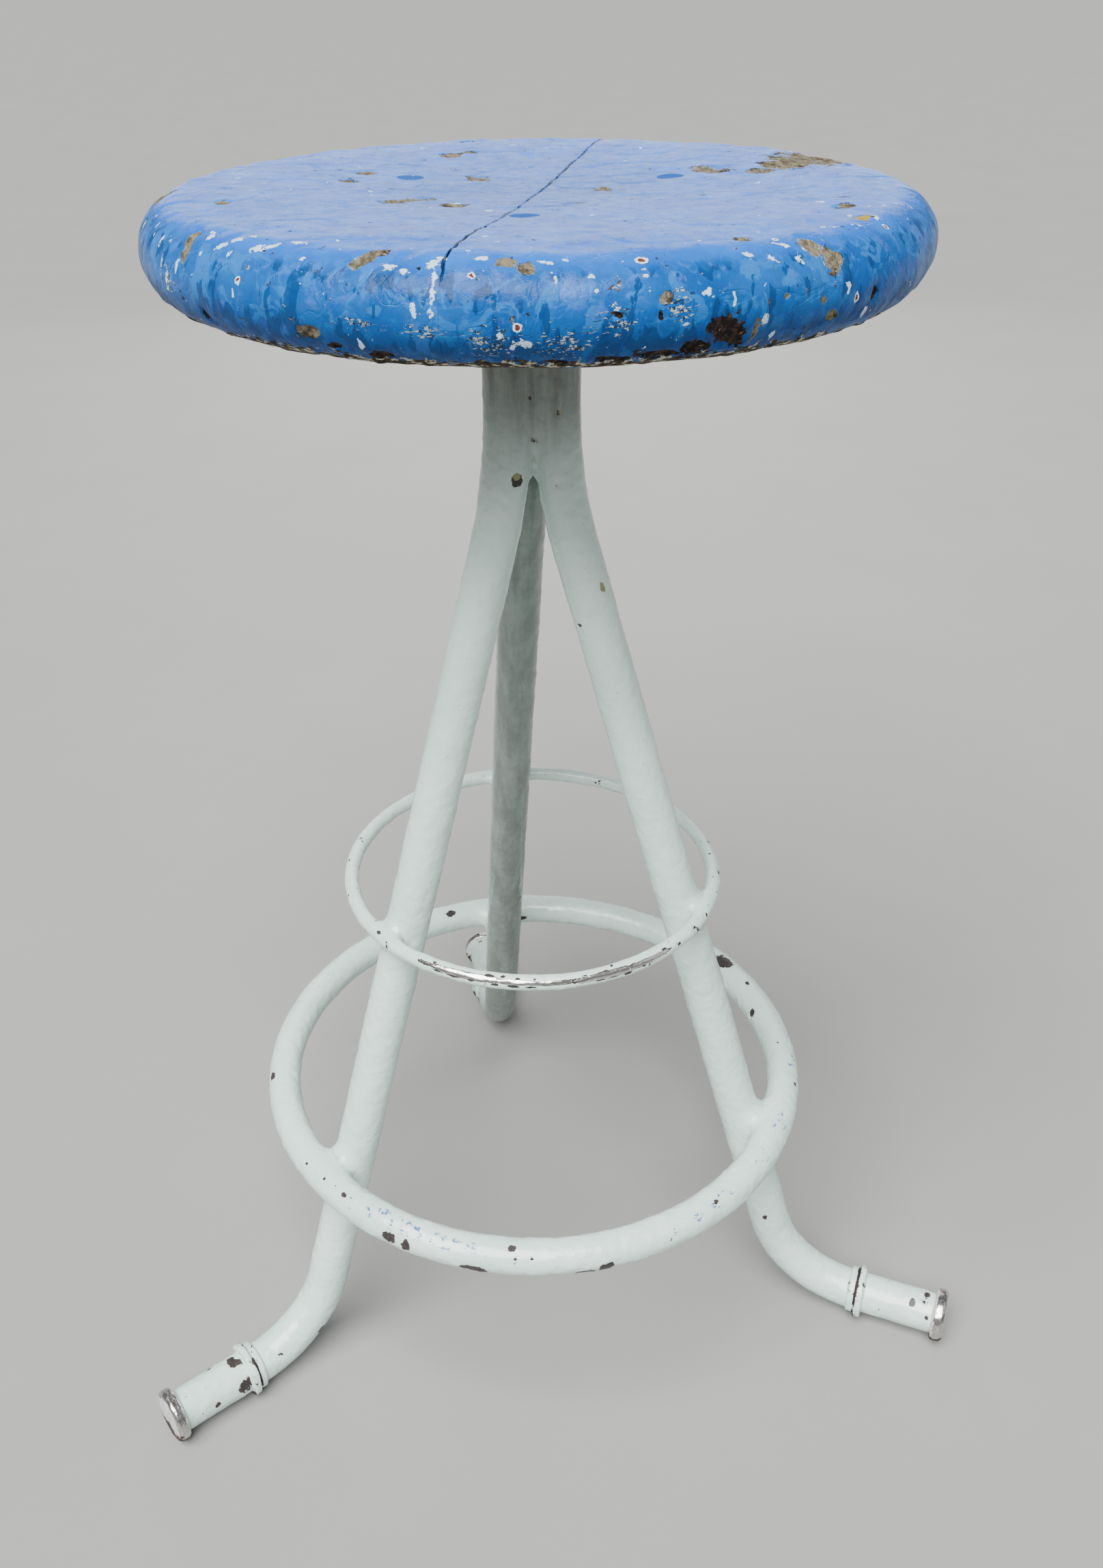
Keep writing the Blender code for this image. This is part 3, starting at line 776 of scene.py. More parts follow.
DARK_CHIPS = [
    (-76, 210, 7.5, 6.5, 0), (-74.5, 214, 5, 6, 0), (-79.5, 217, 6, 4, 20), (-84, 220, 10, 2.2, 0),
    (-90, 221, 8, 2, 0), (-97, 222, 6, 2.2, 0), (-118, 221, 6, 3.2, 0), (-124, 217, 3, 1.6, 0),
    (-146, 213, 2.2, 3.2, 30), (-89.5, 201, 3, 1.3, -20), (-84.6, 202, 1, 2.4, 10),
    (-113, 182, 1.2, 1, 0), (-136, 180, 1.0, 0.9, 0), (-52, 206, 2, 3.4, 0), (130, 218, 9, 3.6, 0),
    (70, 219, 12, 3, 0), (10, 217, 10, 3.4, 0), (-20, 214, 6, 3, 0), (165, 217, 7, 4, 0),
    (95, 160, 4, 2, 0),
]
RED_DOTS = [
    (-86, 178.5, 3.4, 2.6, 0), (-106.5, 185, 1.9, 1.9, 0), (-101, 204.5, 2.2, 2.2, 0),
    (-138, 195, 1.9, 2.2, 0), (-55, 168, 1.6, 1.6, 0), (-46, 165, 1.8, 1.8, 0), (-45, 181, 1.6, 2.4, 0),
    (-56, 206, 1.8, 2.8, 0), (-66, 173, 1.9, 1.6, 0), (40, 190, 2.2, 2.2, 0), (120, 185, 2, 2, 0),
    (165, 200, 2.2, 2.2, 0),
]
WHITE_SPOTS = [
    (-132, 171, 3.4, 1.8, 0), (-135, 177, 5, 1.6, 40), (-137, 180, 4, 2.2, 30), (-140, 173, 3, 1.2, 0),
    (-142, 177, 3, 2.4, 30), (-144, 182, 4, 1.8, 30), (-148, 178, 1.6, 3, 0), (-129, 182, 3, 1.2, 45),
    (-110.5, 176, 3.4, 1.3, 20), (-111.5, 180, 3.2, 2.0, 50), (-110.8, 186, 1.2, 3, 0),
    (-110.8, 193, 1.0, 3.4, 0), (-111, 200, 1.3, 3, 0), (-114.5, 184, 3, 1.5, 0),
    (-117, 182, 3.4, 1.8, 0), (-105.5, 176, 3.0, 1.7, 0), (-98, 178, 4, 1.2, -10),
    (-96.6, 186, 0.9, 2.6, 0), (-92.4, 186, 1.4, 1.4, 0), (-86, 184, 1.6, 0.9, 0),
    (-86, 187, 1.5, 0.9, 0), (-90, 198, 2.6, 1.4, -30), (-92, 192, 1.2, 1.2, 0),
    (-72, 181, 2.4, 1.6, -30), (-69, 184, 3.4, 1.6, -50), (-66, 178, 4, 1.4, -40),
    (-65, 186, 2.2, 3.0, 0), (-50, 176, 3.6, 1.2, -30), (-44, 174, 2.4, 2.4, 0), (-100, 211, 3, 2.2, 0),
    (-103, 208, 2, 2, 0), (-113, 199, 1.4, 3.6, 10), (-157, 196, 1.4, 5, 0), (-155, 204, 1.6, 5, 0),
    (-160, 188, 1.4, 3.6, 0), (-152, 195, 1.2, 4, 0), (-53, 214, 2, 3, 0), (-71, 208, 1.5, 2.4, 0),
    (-69, 216, 1.2, 2.6, 0),
]
FLAKY_PATCHES = [
    (-104, 211, 12, 8, 0), (-95, 212, 14, 7, 0), (-112, 207, 12, 3, 0), (-120, 205, 12, 2.5, 0),
    (-90, 203, 10, 6, 0), (-154, 202, 6, 9, 0), (-82, 199, 7, 7, 60), (80, 208, 18, 7, 0),
    (160, 208, 14, 7, 0),
]


def disc_grid(count, radius):
    """A square grid of points mapped evenly onto a disc, its faces, and its border in order."""
    steps = np.linspace(-1, 1, count + 1)
    a, b = (values.ravel() for values in np.meshgrid(steps, steps, indexing="ij"))
    sideways = np.abs(a) > np.abs(b)
    safe_a, safe_b = np.where(a == 0, 1, a), np.where(b == 0, 1, b)
    reach = np.where(sideways, a, b)
    angle = np.where(sideways, pi / 4 * b / safe_a, pi / 2 - pi / 4 * a / safe_b)
    angle = np.where((a == 0) & (b == 0), 0, angle)
    plan = np.stack([reach * np.cos(angle), reach * np.sin(angle)], axis=1) * radius
    index = np.arange((count + 1) ** 2).reshape(count + 1, count + 1)
    faces = np.stack([index[:-1, :-1], index[1:, :-1], index[1:, 1:], index[:-1, 1:]], axis=-1)
    border = np.concatenate([index[:-1, 0], index[-1, :-1], index[:0:-1, -1], index[0, :0:-1]])
    return plan, faces.reshape(-1, 4).tolist(), border


def seat_shape():
    """Points, normals and faces of the whole seat: its top, rolled edge and underside."""
    plan, faces, border = disc_grid(SEAT_GRID, CREST_RADIUS)
    radius = np.hypot(plan[:, 0], plan[:, 1])
    top = np.column_stack([plan, seat_surface(radius)])
    facing = np.tile([0.0, 0.0, 1.0], (len(top), 1))
    angles = np.arctan2(plan[border, 1], plan[border, 0])
    spokes = np.column_stack([np.cos(angles), np.sin(angles)])
    points, normals, rows = [top], [facing], []
    for step in range(1, EDGE_STEPS + 1):
        turn = pi / 2 - pi * step / EDGE_STEPS
        reach = CREST_RADIUS + EDGE_RADIUS * cos(turn)
        level = SEAT_MIDDLE + EDGE_RADIUS * sin(turn)
        rows.append((spokes * reach, level, cos(turn), sin(turn)))
    for step in range(1, UNDER_STEPS):
        reach = CREST_RADIUS * (1 - step / UNDER_STEPS)
        rows.append((spokes * reach, SEAT_MIDDLE - EDGE_RADIUS, 0.0, -1.0))
    for ring, level, outward, upward in rows:
        points.append(np.column_stack([ring, np.full(len(ring), level)]))
        normals.append(np.column_stack([spokes * outward, np.full(len(ring), upward)]))
    count = len(border)
    before = border
    for row in range(len(rows)):
        here = len(top) + row * count + np.arange(count)
        quads = np.stack([before, np.roll(before, -1), np.roll(here, -1), here], axis=1)
        faces += quads.tolist()
        before = here
    last = len(top) + len(rows) * count
    points.append(np.array([[0, 0, SEAT_MIDDLE - EDGE_RADIUS]]))
    normals.append(np.array([[0, 0, -1.0]]))
    faces += [(int(a), int(b), last) for a, b in zip(before, np.roll(before, -1))]
    return np.concatenate(points) + SEAT_CENTRE, np.concatenate(normals), faces


def seat_marks(points):
    """Where the chips, dots and flecks are, at each point of the seat."""
    local = points - SEAT_CENTRE
    radius = np.hypot(local[:, 0], local[:, 1])
    bolts = np.full(len(points), -1.0)
    for azimuth in BOLT_AZIMUTHS:
        middle = BOLT_CIRCLE * np.array([cos(azimuth), sin(azimuth)])
        distance = np.hypot(local[:, 0] - middle[0], local[:, 1] - middle[1])
        bolts = np.maximum(bolts, np.where(local[:, 2] > SEAT_MIDDLE, 1 - distance / BOLT_DIMPLE, -1))
    rise = local[:, 2] - (SEAT_MIDDLE - EDGE_RADIUS)
    hem_height = 7 * MM + lumps(points, [(4, 45, 21)])
    return {
        "chip": chip_field(points, seat_chips(WOOD_CHIPS + YELLOW_CHIPS)),
        "yellow": chip_field(points, seat_chips(YELLOW_CHIPS)),
        "dark": chip_field(points, seat_chips(DARK_CHIPS)),
        "dot": chip_field(points, seat_chips(RED_DOTS)),
        "white": chip_field(points, seat_chips(WHITE_SPOTS)),
        "flaky": chip_field(points, seat_chips(FLAKY_PATCHES)),
        "hem": 1 - ramp(rise, 0.5 * MM, hem_height),
        "bolt": bolts,
        "rim": ramp(radius, 140 * MM, 165 * MM) * ramp(rise, 0, 10 * MM),
        "under": 1 - ramp(rise, 0.0, 3.5 * MM),
    }


# Layers of lumps, each (height in mm, size in mm, seed).
SEAT_LUMPS = [(0.55, 60, 11), (0.38, 24, 12), (0.24, 9, 13), (0.14, 4.5, 14)]
SHOULDER_LUMPS = [(0.35, 15, 19), (0.20, 8, 20)]
BRUSHED_RIDGES = [(0.30, np.array([4.5, 4.5, 22]), 15)]


def seat_relief(points, normals, marks):
    """How far the seat's surface stands out: paint lumps, drips, worn dips, chips and bolt dimples."""
    radius = np.hypot(points[:, 0] - SEAT_CENTRE[0], points[:, 1] - SEAT_CENTRE[1])
    side = 1 - np.abs(normals[:, 2])
    out = lumps(points, SEAT_LUMPS) + side * lumps(points, BRUSHED_RIDGES)
    furrows = 1 - ramp(np.abs(noise(points, 28 * MM, 18)), 0.02, 0.16)
    out -= 0.35 * MM * (1 - side) * furrows
    shoulder = ramp(radius, 148 * MM, 166 * MM) * ramp(points[:, 2], SEAT_TOP - 14 * MM, SEAT_TOP - 1 * MM)
    out += shoulder * (lumps(points, SHOULDER_LUMPS) - 0.6 * MM)
    low = ramp(SEAT_MIDDLE - points[:, 2], 10 * MM, 19 * MM)
    drips = np.clip(noise(points, np.array([6, 6, 14]) * MM, 16) - 0.35, 0, 1)
    out += 4.5 * MM * low * (side + 0.3) * drips
    over_bolt = ramp(marks["bolt"], 0.0, 0.22)
    out = out * (1 - over_bolt) - 0.55 * MM * over_bolt
    roughness = 0.5 * noise(points, 5 * MM, 17)
    out -= 0.55 * MM * ramp(marks["chip"] + roughness, -0.05, 0.2)
    out -= 1.0 * MM * ramp(marks["dark"] + roughness, -0.05, 0.25)
    return out + 0.25 * MM * ramp(marks["white"], 0.0, 0.5)


def add_board(name, node, whole, side):
    """One board of the seat, cut from the whole along the glue joint. side is 1 or -1."""
    half_gap, worn_down, worn_back = 0.04 * MM, 0.35 * MM, 0.10 * MM
    bm = bmesh.new()
    bm.from_mesh(whole)
    bmesh.ops.bisect_plane(
        bm,
        geom=list(bm.verts) + list(bm.edges) + list(bm.faces),
        plane_co=Vector(SEAT_CENTRE + SEAM_NORMAL * (SEAM_OFFSET + half_gap * side)),
        plane_no=Vector(SEAM_NORMAL * -side),
        clear_outer=True,
    )
    open_edges = [edge for edge in bm.edges if edge.is_boundary]
    for vert in {vert for edge in open_edges for vert in edge.verts if vert.co.z > SEAT_TOP - 8 * MM}:
        vert.co += Vector((0, 0, -worn_down)) + Vector(SEAM_NORMAL) * side * worn_back
    bmesh.ops.contextual_create(bm, geom=open_edges)
    bmesh.ops.recalc_face_normals(bm, faces=bm.faces)
    mesh = bpy.data.meshes.new(name)
    bm.to_mesh(mesh)
    bm.free()
    mesh.shade_smooth()
    mesh.set_sharp_from_angle(angle=radians(60))
    finish_piece(name, mesh, SEAT_PAINT, node)


def add_seat():
    points, normals, faces = seat_shape()
    marks = seat_marks(points)
    points = points + normals * seat_relief(points, normals, marks)[:, None]
    whole = marked_mesh("whole_seat", points, faces, marks)
    add_board("painted_board_right", "seat_board_right", whole, 1)
    add_board("painted_board_left", "seat_board_left", whole, -1)
    bpy.data.meshes.remove(whole)


# ---------------------------------------------------------------- the frame's pieces

def circle_angles(count):
    return 2 * pi * np.arange(count) / count


def sweep(centres, across, level, radius, around):
    """Points and normals of circles across a path."""
    angles = circle_angles(around)
    directions = across[:, None] * np.cos(angles)[:, None] + level[:, None] * np.sin(angles)[:, None]
    points = centres[:, None] + directions * radius
    return points.reshape(-1, 3), directions.reshape(-1, 3)


def leg_chips(side, spots):
    """Chips on a leg from (reach, sideways, height, half-width, half-height) in mm."""
    outward, sideways = leg_directions(LEG_AZIMUTHS[side])
    chips = []
    for reach, across, height, half_width, half_height in spots:
        middle = AXIS + (outward * reach + sideways * across + UP * height) * MM
        chips.append((middle, sideways, half_width * MM, half_height * MM))
    return chips


# (reach, sideways, height, half-width, half-height) in mm
LEG_CHIPS = {
    "rear": [(9, -9, 420, 1.5, 2), (108, -12, 262, 1.5, 1.5), (60, -13, 330, 1.5, 2), (180, 10, 60, 4, 3)],
    "left": [
        (19, 12.5, 561, 3.0, 3.6), (243, -3, 29.5, 6, 3.4), (239, 1, 30, 4, 3), (215, 9, 24, 2, 3),
        (212, 4, 33, 1.6, 1.6), (262, 12, 18, 3, 2), (150, -8, 120, 1.5, 2), (241, 10, 19, 5, 6),
        (256, -9, 25, 5, 1.5), (189, 11, 32, 1.8, 1.8), (185, 12.5, 27, 2.2, 3.2), (171, 9, 62, 1.4, 1.6),
    ],
    "right": [
        (20, -11.5, 596, 2.4, 1.6), (33, -11, 479, 1.9, 1.8), (20, -12.5, 557, 0.9, 1.1),
        (168, -12, 72, 2.0, 1.9), (268, -6, 27, 3.4, 2), (275, -3, 28, 3, 2), (276, 2, 28.5, 3.4, 2.2),
        (278, -9, 22, 2.6, 2.0), (200, -5, 45, 1.4, 1.4), (225, -4, 30, 2, 1.4),
    ],
}
KHAKI_CHIPS = {
    "rear": [],
    "left": [(19, 12, 563.5, 3.6, 2.2)],
    "right": [(44, -6, 501, 1.8, 3.2), (21, -11, 597, 2.4, 1.2)],
}
# Painted shade of the dark slit and holes where the legs join: (x, y, height, radius) from the stool's
# axis, in mm.
CREASE_SHADE_SPOTS = [
    (0, -13, 551, 3.2), (0, -15.5, 556, 1.6), (0, -16, 560, 1.5), (0, -16.4, 564, 1.7),
    (0, -16.4, 568, 1.4), (0, -16.4, 572, 1.5), (0, -16.4, 581, 2.2), (-2, -16.6, 603, 1.5),
    (0, -16.4, 634, 1.6), (-12, -19.5, 640, 1.8), (2, -16.4, 651, 3.4),
]


def leg_shape(azimuth):
    """Points, normals and faces of a leg's plain tube, closed at both ends."""
    outward, sideways = leg_directions(azimuth)
    path = leg_centreline(LEG_SPACING)
    run = unit(np.gradient(path, axis=0))
    centres = AXIS + path[:, :1] * outward + path[:, 1:] * UP
    across = -run[:, 1:] * outward + run[:, :1] * UP
    level = np.tile(sideways, (len(path), 1))
    points, normals = sweep(centres, across, level, TUBE_RADIUS, LEG_AROUND)
    points, normals, fans = closed_ends(points, normals, LEG_AROUND)
    return points, normals, loop_faces(len(path), LEG_AROUND) + fans


def add_leg(side, azimuth):
    """A leg's thick coat of paint, with the welds that join it to the rings, the plate and the others."""
    outward, _ = leg_directions(azimuth)
    points, normals, faces = leg_shape(azimuth)
    neighbours = [
        (footrest_distance, wide(FOOTREST_WELD)), (upper_distance, wide(UPPER_WELD)),
        (plate_distance, wide(PLATE_WELD)), *leg_neighbours(crease_fill, but=side),
    ]
    out, crease = bridged(points, normals, neighbours)
    points = points + normals * out[:, None]
    # Painted shade: the crease spots go in as dark chips for the holes down the crease.
    crease_hole_shade = [
        (AXIS + np.array([x, y, height]) * MM, outward, radius * MM, radius * MM)
        for x, y, height, radius in CREASE_SHADE_SPOTS
    ]
    chips = chip_field(points, leg_chips(side, LEG_CHIPS[side]) + crease_hole_shade)
    khaki = chip_field(points, leg_chips(side, KHAKI_CHIPS[side]))
    foot = ramp(points @ outward - AXIS @ outward, 190 * MM, 270 * MM)
    shoulder = ramp(points[:, 2], 540 * MM, 600 * MM)
    relief = paint_lumps(points) - 0.3 * MM * ramp(chips, 0, 0.3)
    points = points + normals * relief[:, None]
    points[:, 2] = np.maximum(points[:, 2], 0.2 * MM)
    # Painted shade: darker near the seat, and on the rear leg's inner face, which is shaded.
    soot = 0.93 * ramp(points[:, 2], 545 * MM, 608 * MM)
    if side == "rear":
        soot = np.maximum(soot, 0.80 * ramp(normals @ -outward, -0.45, 0.5))
    wear = np.maximum(foot, 0.45 * shoulder)
    marks = frame_marks(len(points), crease=crease, chip=chips, khaki=khaki, wear=wear, soot=soot)
    add_piece(f"painted_leg_{side}", points, faces, marks, FRAME_PAINT, f"leg_{side}")


def ring_chips(size, spots):
    """Chips on a ring from (azimuth, angle round the bar, half-length, half-height), in degrees and mm."""
    radius, height, bar = size
    chips = []
    for azimuth, section, half_length, half_height in spots:
        a, s = radians(azimuth), radians(section)
        reach = radius + bar * cos(s)
        middle = AXIS + np.array([reach * cos(a), reach * sin(a), height + bar * sin(s)])
        chips.append((middle, np.array([-sin(a), cos(a), 0.0]), half_length * MM, half_height * MM))
    return chips


# (azimuth, angle round the bar in degrees, half-length, half-height in mm)
FOOTREST_CHIPS = [
    (-127.5, 12, 5, 4), (-123.5, 8, 3, 4), (-110, -15, 8, 3), (-89, -30, 7, 3), (-85, -14, 5, 3.5),
    (-103, 72, 3, 2.5), (24, 100, 8, 5), (5, 150, 3, 3), (104, 120, 4, 3), (84, -175, 4, 2),
    (-60, 60, 2, 1.5), (-20, 40, 2.5, 2), (-140, 60, 2.5, 1.5), (180, 40, 4, 3), (150, 20, 5, 3),
    (60, 30, 6, 3), (120, 60, 4, 3), (-146, 58, 1.3, 1.2), (-143, 64, 1.2, 0.9), (-138, 66, 1.3, 1.0),
    (-134, 70, 1.4, 0.9), (-99, 44, 1.2, 0.9), (-119, 50, 1.2, 0.8), (-152, 50, 1.6, 1.2),
    (-72, 20, 1.3, 1.1), (14, 95, 2.2, 1.6), (30, 92, 2.6, 1.8), (40, 80, 2, 1.6), (-8, 100, 1.4, 1.4),
]
FOOTREST_SCUFFS = [
    (-131, 70, 10, 6), (-125, 65, 16, 6), (-116, 62, 12, 5), (-109, 58, 12, 4), (-13, 60, 8, 4),
    (-33, 66, 10, 5), (-44, 60, 9, 4), (-58, 55, 12, 4), (-66, 50, 8, 4), (-5, 40, 8, 4),
]
UPPER_CHIPS = [
    (-126, 14, 5, 0.7), (-121, 12, 5, 0.8), (-116, 10, 5, 0.7), (-109, 8, 3, 0.9), (-104, 4, 4, 0.8),
    (-99, 0, 4, 0.9), (-111, 66, 3.4, 1.5), (-107, 74, 1.6, 1.2), (-103, 62, 1.6, 1.0),
    (-98, 60, 1.4, 1.0), (-80, -2, 5, 0.7), (-76, -4, 5, 0.7), (-71, -6, 4, 0.8), (-66, 20, 1.8, 1.6),
    (-84, 58, 2.4, 0.8), (-78, 60, 3, 0.8), (-58, 50, 2.0, 1.2), (-52, 20, 1.6, 1.2), (-44, 44, 1.4, 1.0),
    (-36, 30, 1.2, 1.2), (-150, 60, 2, 1), (-172, 30, 1.6, 1.0), (170, 55, 1.4, 1.0), (158, 30, 1.2, 1.2),
    (-14, 40, 1.6, 1.2), (2, 60, 1.4, 1.0), (18, 30, 1.2, 1.0), (30, 50, 3, 2), (72, 10, 3, 1.2),
    (110, 30, 2.6, 1.2), (140, 20, 1.4, 1.0),
]
# Where shoes have rubbed the upper ring bright: (azimuth, angle round the bar, half-spans), in degrees.
RUBBED_STRETCHES = [
    (-117, 42, 14, 26), (-103, 36, 8, 20), (-94, 30, 7, 20), (-77, 30, 11, 30), (-63, 30, 8, 20),
]


def rubbed_field(azimuth, section, stretches):
    """1 in the middle of a rubbed stretch, 0 at its edge, less outside."""
    field = np.full(len(azimuth), -2.0)
    for middle, level, span, spread in stretches:
        along = (np.degrees(azimuth) - middle + 180) % 360 - 180
        around = (np.degrees(section) - level + 180) % 360 - 180
        field = np.maximum(field, 1 - np.hypot(along / span, around / spread))
    return field


def add_ring(name, node, size, weld, around, finish, chips, scuffs, rubbed, wear):
    """A ring round the outside of the legs, with its weld fillets."""
    radius, height, bar = size
    steps = round(2 * pi * radius / RING_SPACING)
    angles = circle_angles(steps)
    across = np.column_stack([np.cos(angles), np.sin(angles), np.zeros(steps)])
    centres = AXIS + across * radius + UP * height
    points, normals = sweep(centres, across, np.tile(UP, (steps, 1)), bar, around)
    out, crease = bridged(points, normals, leg_neighbours(wide(weld)))
    marks = frame_marks(
        len(points),
        crease=crease,
        chip=chip_field(points, ring_chips(size, chips)),
        scuff=chip_field(points, ring_chips(size, scuffs)),
        rubbed=rubbed_field(np.repeat(angles, around), np.tile(circle_angles(around), steps), rubbed),
        wear=wear,
    )
    coat = paint_lumps(points) * (1 - 0.7 * ramp(marks["rubbed"], -0.1, 0.3))
    relief = out + coat - 0.25 * MM * ramp(marks["chip"], 0, 0.3)
    points = points + normals * relief[:, None]
    add_piece(name, points, loop_faces(steps, around, closed_rows=True), marks, finish, node)


def turned(profile, around):
    """Points and normals of a profile of (radius, height) points turned about Z."""
    angles = circle_angles(around)
    spokes = np.column_stack([np.cos(angles), np.sin(angles)])
    points = [np.column_stack([spokes * radius, np.full(around, height)]) for radius, height in profile]
    run = unit(np.gradient(profile, axis=0))
    normals = [np.column_stack([spokes * rise, np.full(around, -outward)]) for outward, rise in run]
    return np.concatenate(points), np.concatenate(normals)


def smooth_profile(corners, spacing, rounds):
    """A profile through the corners with its corners worn round."""
    corners = np.array(corners, float)
    points = [corners[0]]
    for start, end in zip(corners, corners[1:]):
        steps = max(2, round(np.linalg.norm(end - start) / spacing))
        points += [start + (end - start) * step / steps for step in range(1, steps + 1)]
    points = np.array(points)
    for _ in range(rounds):
        points[1:-1] = (points[:-2] + 2 * points[1:-1] + points[2:]) / 4
    return points


def on_foot(points, normals, azimuth, reach):
    """Moves a shape made about Z to lie about the foot's axis, Z pointing outwards."""
    outward, sideways = leg_directions(azimuth)
    turn = np.stack([UP, sideways, outward])
    return points @ turn + AXIS + outward * reach + UP * FOOT_HEIGHT, normals @ turn


def add_collar(side, azimuth, seed):
    """The flanged collar round a foot, its rim uneven under cracked paint."""
    back, front = -5 * MM, 5 * MM
    tube, shoulder, rim = TUBE_RADIUS - 0.4 * MM, 14.7 * MM, RIM_RADIUS
    corners = [
        (tube, back - 1.5 * MM), (TUBE_RADIUS + 0.5 * MM, back), (shoulder, back + 0.6 * MM),
        (shoulder, -0.5 * MM), (shoulder - 0.9 * MM, 0.2 * MM), (rim, 0.6 * MM), (rim, front - 0.6 * MM),
        (TUBE_RADIUS + 0.8 * MM, front), (tube, front + 1.2 * MM),
    ]
    profile = smooth_profile(corners, 0.45 * MM, 2)
    points, normals = turned(profile, FOOT_AROUND)
    places, facing = on_foot(points, normals, azimuth, COLLAR_REACH)
    proud = ramp(np.hypot(points[:, 0], points[:, 1]), TUBE_RADIUS, RIM_RADIUS)
    out = lumps(places, [(0.75, 7, seed)]) * proud + lumps(places, [(0.15, 2.5, seed + 1)])
    places = places + facing * out[:, None]
    places[:, 2] = np.maximum(places[:, 2], 0.0)
    low = ramp(FOOT_HEIGHT - places[:, 2], 2 * MM, 13 * MM)
    groove = 1 - ramp(np.abs(points[:, 2]), 0.3 * MM, 1.3 * MM)
    patches = noise(places, 8 * MM, seed + 2)
    chips = np.maximum(0.55 * patches + 0.55 * low - 0.45, 0.8 * groove * ramp(patches, -0.4, 0.2) - 0.2)
    # Painted shade in the groove, through the crease mark.
    marks = frame_marks(len(places), crease=0.8 * groove, chip=chips, wear=0.7)
    faces, node = loop_faces(len(profile), FOOT_AROUND), f"foot_collar_{side}"
    add_piece(f"painted_collar_{side}", places, faces, marks, FRAME_PAINT, node)


def add_cap(side, azimuth, seed):
    """The turned plug in the end of a foot: a rim rubbed bright over rust and flakes of paint."""
    depth, rim = CAP_REACH - FOOT_REACH, RIM_RADIUS
    corners = [
        (TUBE_RADIUS - 0.6 * MM, -1.5 * MM), (TUBE_RADIUS + 0.4 * MM, -0.4 * MM),
        (rim - 0.6 * MM, 0.2 * MM), (rim, 1.4 * MM), (rim, depth - 2.6 * MM),
        (rim - 1.4 * MM, depth - 0.9 * MM), (rim - 3.4 * MM, depth - 0.5 * MM),
        (6 * MM, depth - 0.1 * MM), (0.3 * MM, depth),
    ]
    profile = smooth_profile(corners, 0.5 * MM, 2)
    points, normals, fans = closed_ends(*turned(profile, FOOT_AROUND), FOOT_AROUND)
    places, facing = on_foot(points, normals, azimuth, FOOT_REACH)
    places = places + facing * lumps(places, [(0.35, 5, seed), (0.16, 2.2, seed + 1)])[:, None]
    places[:, 2] = np.maximum(places[:, 2], 0.0)
    radius = np.hypot(points[:, 0], points[:, 1])
    marks = {
        "rubbed": ramp(radius, rim - 3.0 * MM, rim - 1.0 * MM) * ramp(points[:, 2], 0.0, 2 * MM),
        "below": ramp(FOOT_HEIGHT - places[:, 2], -1 * MM, 12 * MM),
    }
    faces = loop_faces(len(profile), FOOT_AROUND) + fans
    add_piece(f"worn_cap_{side}", places, faces, marks, CAP_PAINT, f"foot_cap_{side}")


def add_plate():
    """The painted steel disc under the seat, with weld metal round the bundle of legs."""
    thick = plate_high.z - plate_low.z
    corners = [
        (0.5 * MM, thick), (PLATE_RADIUS - 1 * MM, thick), (PLATE_RADIUS, thick - 1 * MM),
        (PLATE_RADIUS, 1 * MM), (PLATE_RADIUS - 1 * MM, 0), (0.5 * MM, 0),
    ]
    profile = smooth_profile(corners, 1.6 * MM, 1)
    points, normals, fans = closed_ends(*turned(profile, PLATE_AROUND), PLATE_AROUND)
    places = points + SEAT_CENTRE + UP * plate_low.z
    below = np.where(normals[:, 2] < -0.5)[0]
    out, crease = np.zeros(len(places)), np.zeros(len(places))
    out[below], crease[below] = bridged(
        places[below], normals[below], leg_neighbours(wide(PLATE_WELD)), 12 * MM
    )
    coat = np.where(normals[:, 2] > 0.5, 0, paint_lumps(places))
    places = places + normals * (out + coat)[:, None]
    # Painted shade: the plate under the seat is darkened all over, and more in its weld creases.
    marks = frame_marks(len(places), crease=crease, soot=0.85)
    faces = loop_faces(len(profile), PLATE_AROUND) + fans
    add_piece("painted_plate", places, faces, marks, FRAME_PAINT, "seat_plate")


def finish_fasteners():
    """The bolts, washers and nuts keep their CAD shapes and get aged steel."""
    for name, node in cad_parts.items():
        if name.startswith(("seat_bolt", "seat_washer", "seat_nut")):
            node.data.materials.clear()
            node.data.materials.append(FASTENER_STEEL)


add_seat()
for index, (side, azimuth) in enumerate(LEG_AZIMUTHS.items()):
    add_leg(side, azimuth)
    add_collar(side, azimuth, 40 + 10 * index)
    add_cap(side, azimuth, 70 + 10 * index)
add_ring("painted_footrest", "footrest_ring", FOOTREST, FOOTREST_WELD, 44,
         FRAME_PAINT, FOOTREST_CHIPS, FOOTREST_SCUFFS, [], 0.35)
add_ring("painted_upper_ring", "upper_ring", UPPER_RING, UPPER_WELD, 24,
         RING_PAINT, UPPER_CHIPS, [], RUBBED_STRETCHES, 1.1)
add_plate()
finish_fasteners()


# ---------------------------------------------------------------- floor, light and camera

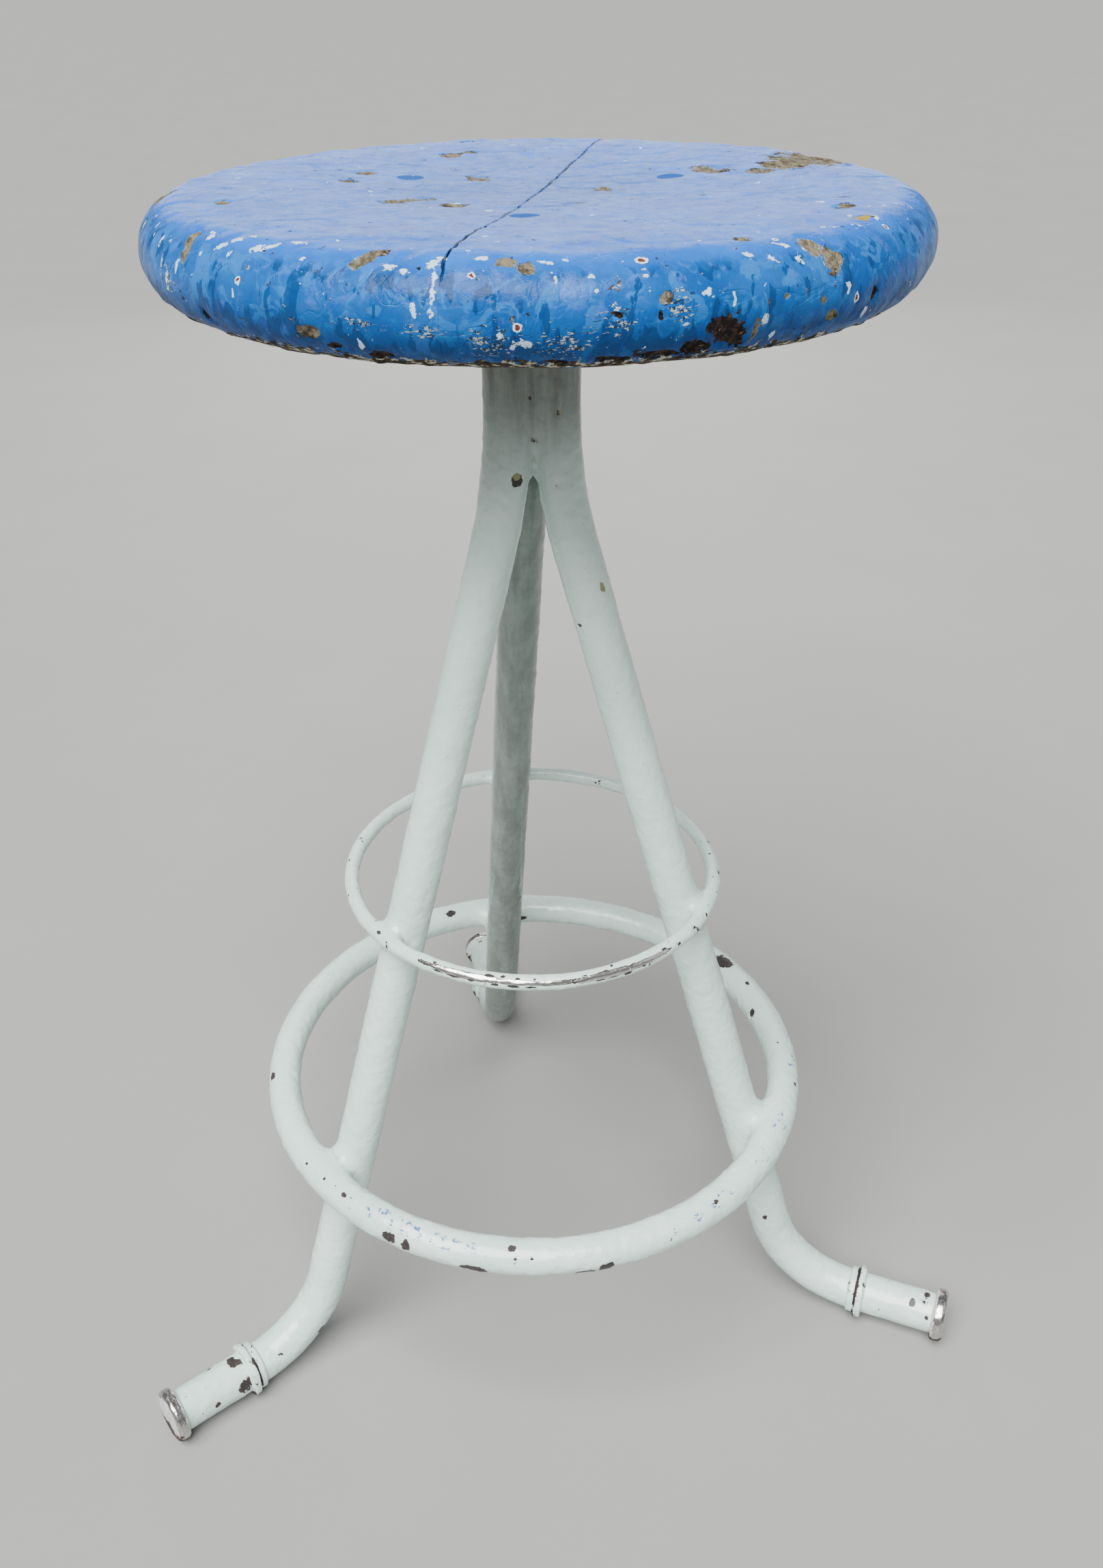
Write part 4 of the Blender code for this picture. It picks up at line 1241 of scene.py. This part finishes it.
def add_floor():
    bpy.ops.mesh.primitive_circle_add(vertices=96, radius=40, fill_type="NGON", location=(0, 0, 0))
    floor = bpy.context.object
    floor.name = "floor"
    made, tree, shader = start_material("pale_floor", 0.6)
    soft = cloud(place(tree), 5, 4, 0.6)
    feed(shader, "Base Color", mix(soft, (0.245, 0.245, 0.238), (0.275, 0.275, 0.267)))
    floor.data.materials.append(made)


def add_light(name, kind, energy, tint, shining, location=(0, 0, 0)):
    """A light that shines along a direction."""
    data = bpy.data.lights.new(name, kind)
    data.energy = energy
    data.color = tint
    lamp = bpy.data.objects.new(name, data)
    lamp.location = location
    lamp.rotation_euler = Vector(shining).to_track_quat("-Z", "Y").to_euler()
    bpy.context.scene.collection.objects.link(lamp)
    return data


def add_disc_light(name, location, target, size, energy, tint):
    data = add_light(name, "AREA", energy, tint, Vector(target) - Vector(location), location)
    data.shape = "DISK"
    data.size = size


def add_camera():
    """The view down on the stool, from in front and a little above the seat."""
    yaw, pitch, roll = radians(7.28), radians(-29.88), radians(-1.0)
    forward = Vector((sin(yaw) * cos(pitch), cos(yaw) * cos(pitch), sin(pitch)))
    level = Vector((cos(yaw), -sin(yaw), 0))
    right = level * cos(roll) + level.cross(forward) * sin(roll)
    up = right.cross(forward)
    data = bpy.data.cameras.new("camera")
    data.lens = 32.3
    data.shift_x = 0.033
    data.shift_y = -0.027
    camera = bpy.data.objects.new("camera", data)
    turn = Matrix((right, up, -forward)).transposed().to_4x4()
    camera.matrix_world = Matrix.Translation(Vector(AXIS) + Vector(CAMERA_FROM_AXIS)) @ turn
    bpy.context.scene.collection.objects.link(camera)
    bpy.context.scene.camera = camera


def add_world():
    world = bpy.data.worlds.new("studio")
    world.use_nodes = True
    background = world.node_tree.nodes["Background"]
    background.inputs["Color"].default_value = (0.90, 0.93, 1.0, 1)
    background.inputs["Strength"].default_value = 0.24
    bpy.context.scene.world = world


add_floor()
add_world()
# The key is a broad soft light from the left, in front and above.
key = add_light("key", "SUN", 9.4, (1.0, 0.99, 0.97), (1.0, 1.45, -2.9))
key.angle = radians(50)
add_disc_light("fill", (1.8, -0.8, 1.4), (0, 0, 0.4), 1.6, 5, (0.95, 0.97, 1.0))
add_disc_light("backdrop", (0.4, 2.6, 1.3), (0, 0, 0.7), 2.6, 24, (1.0, 1.0, 1.0))
add_camera()
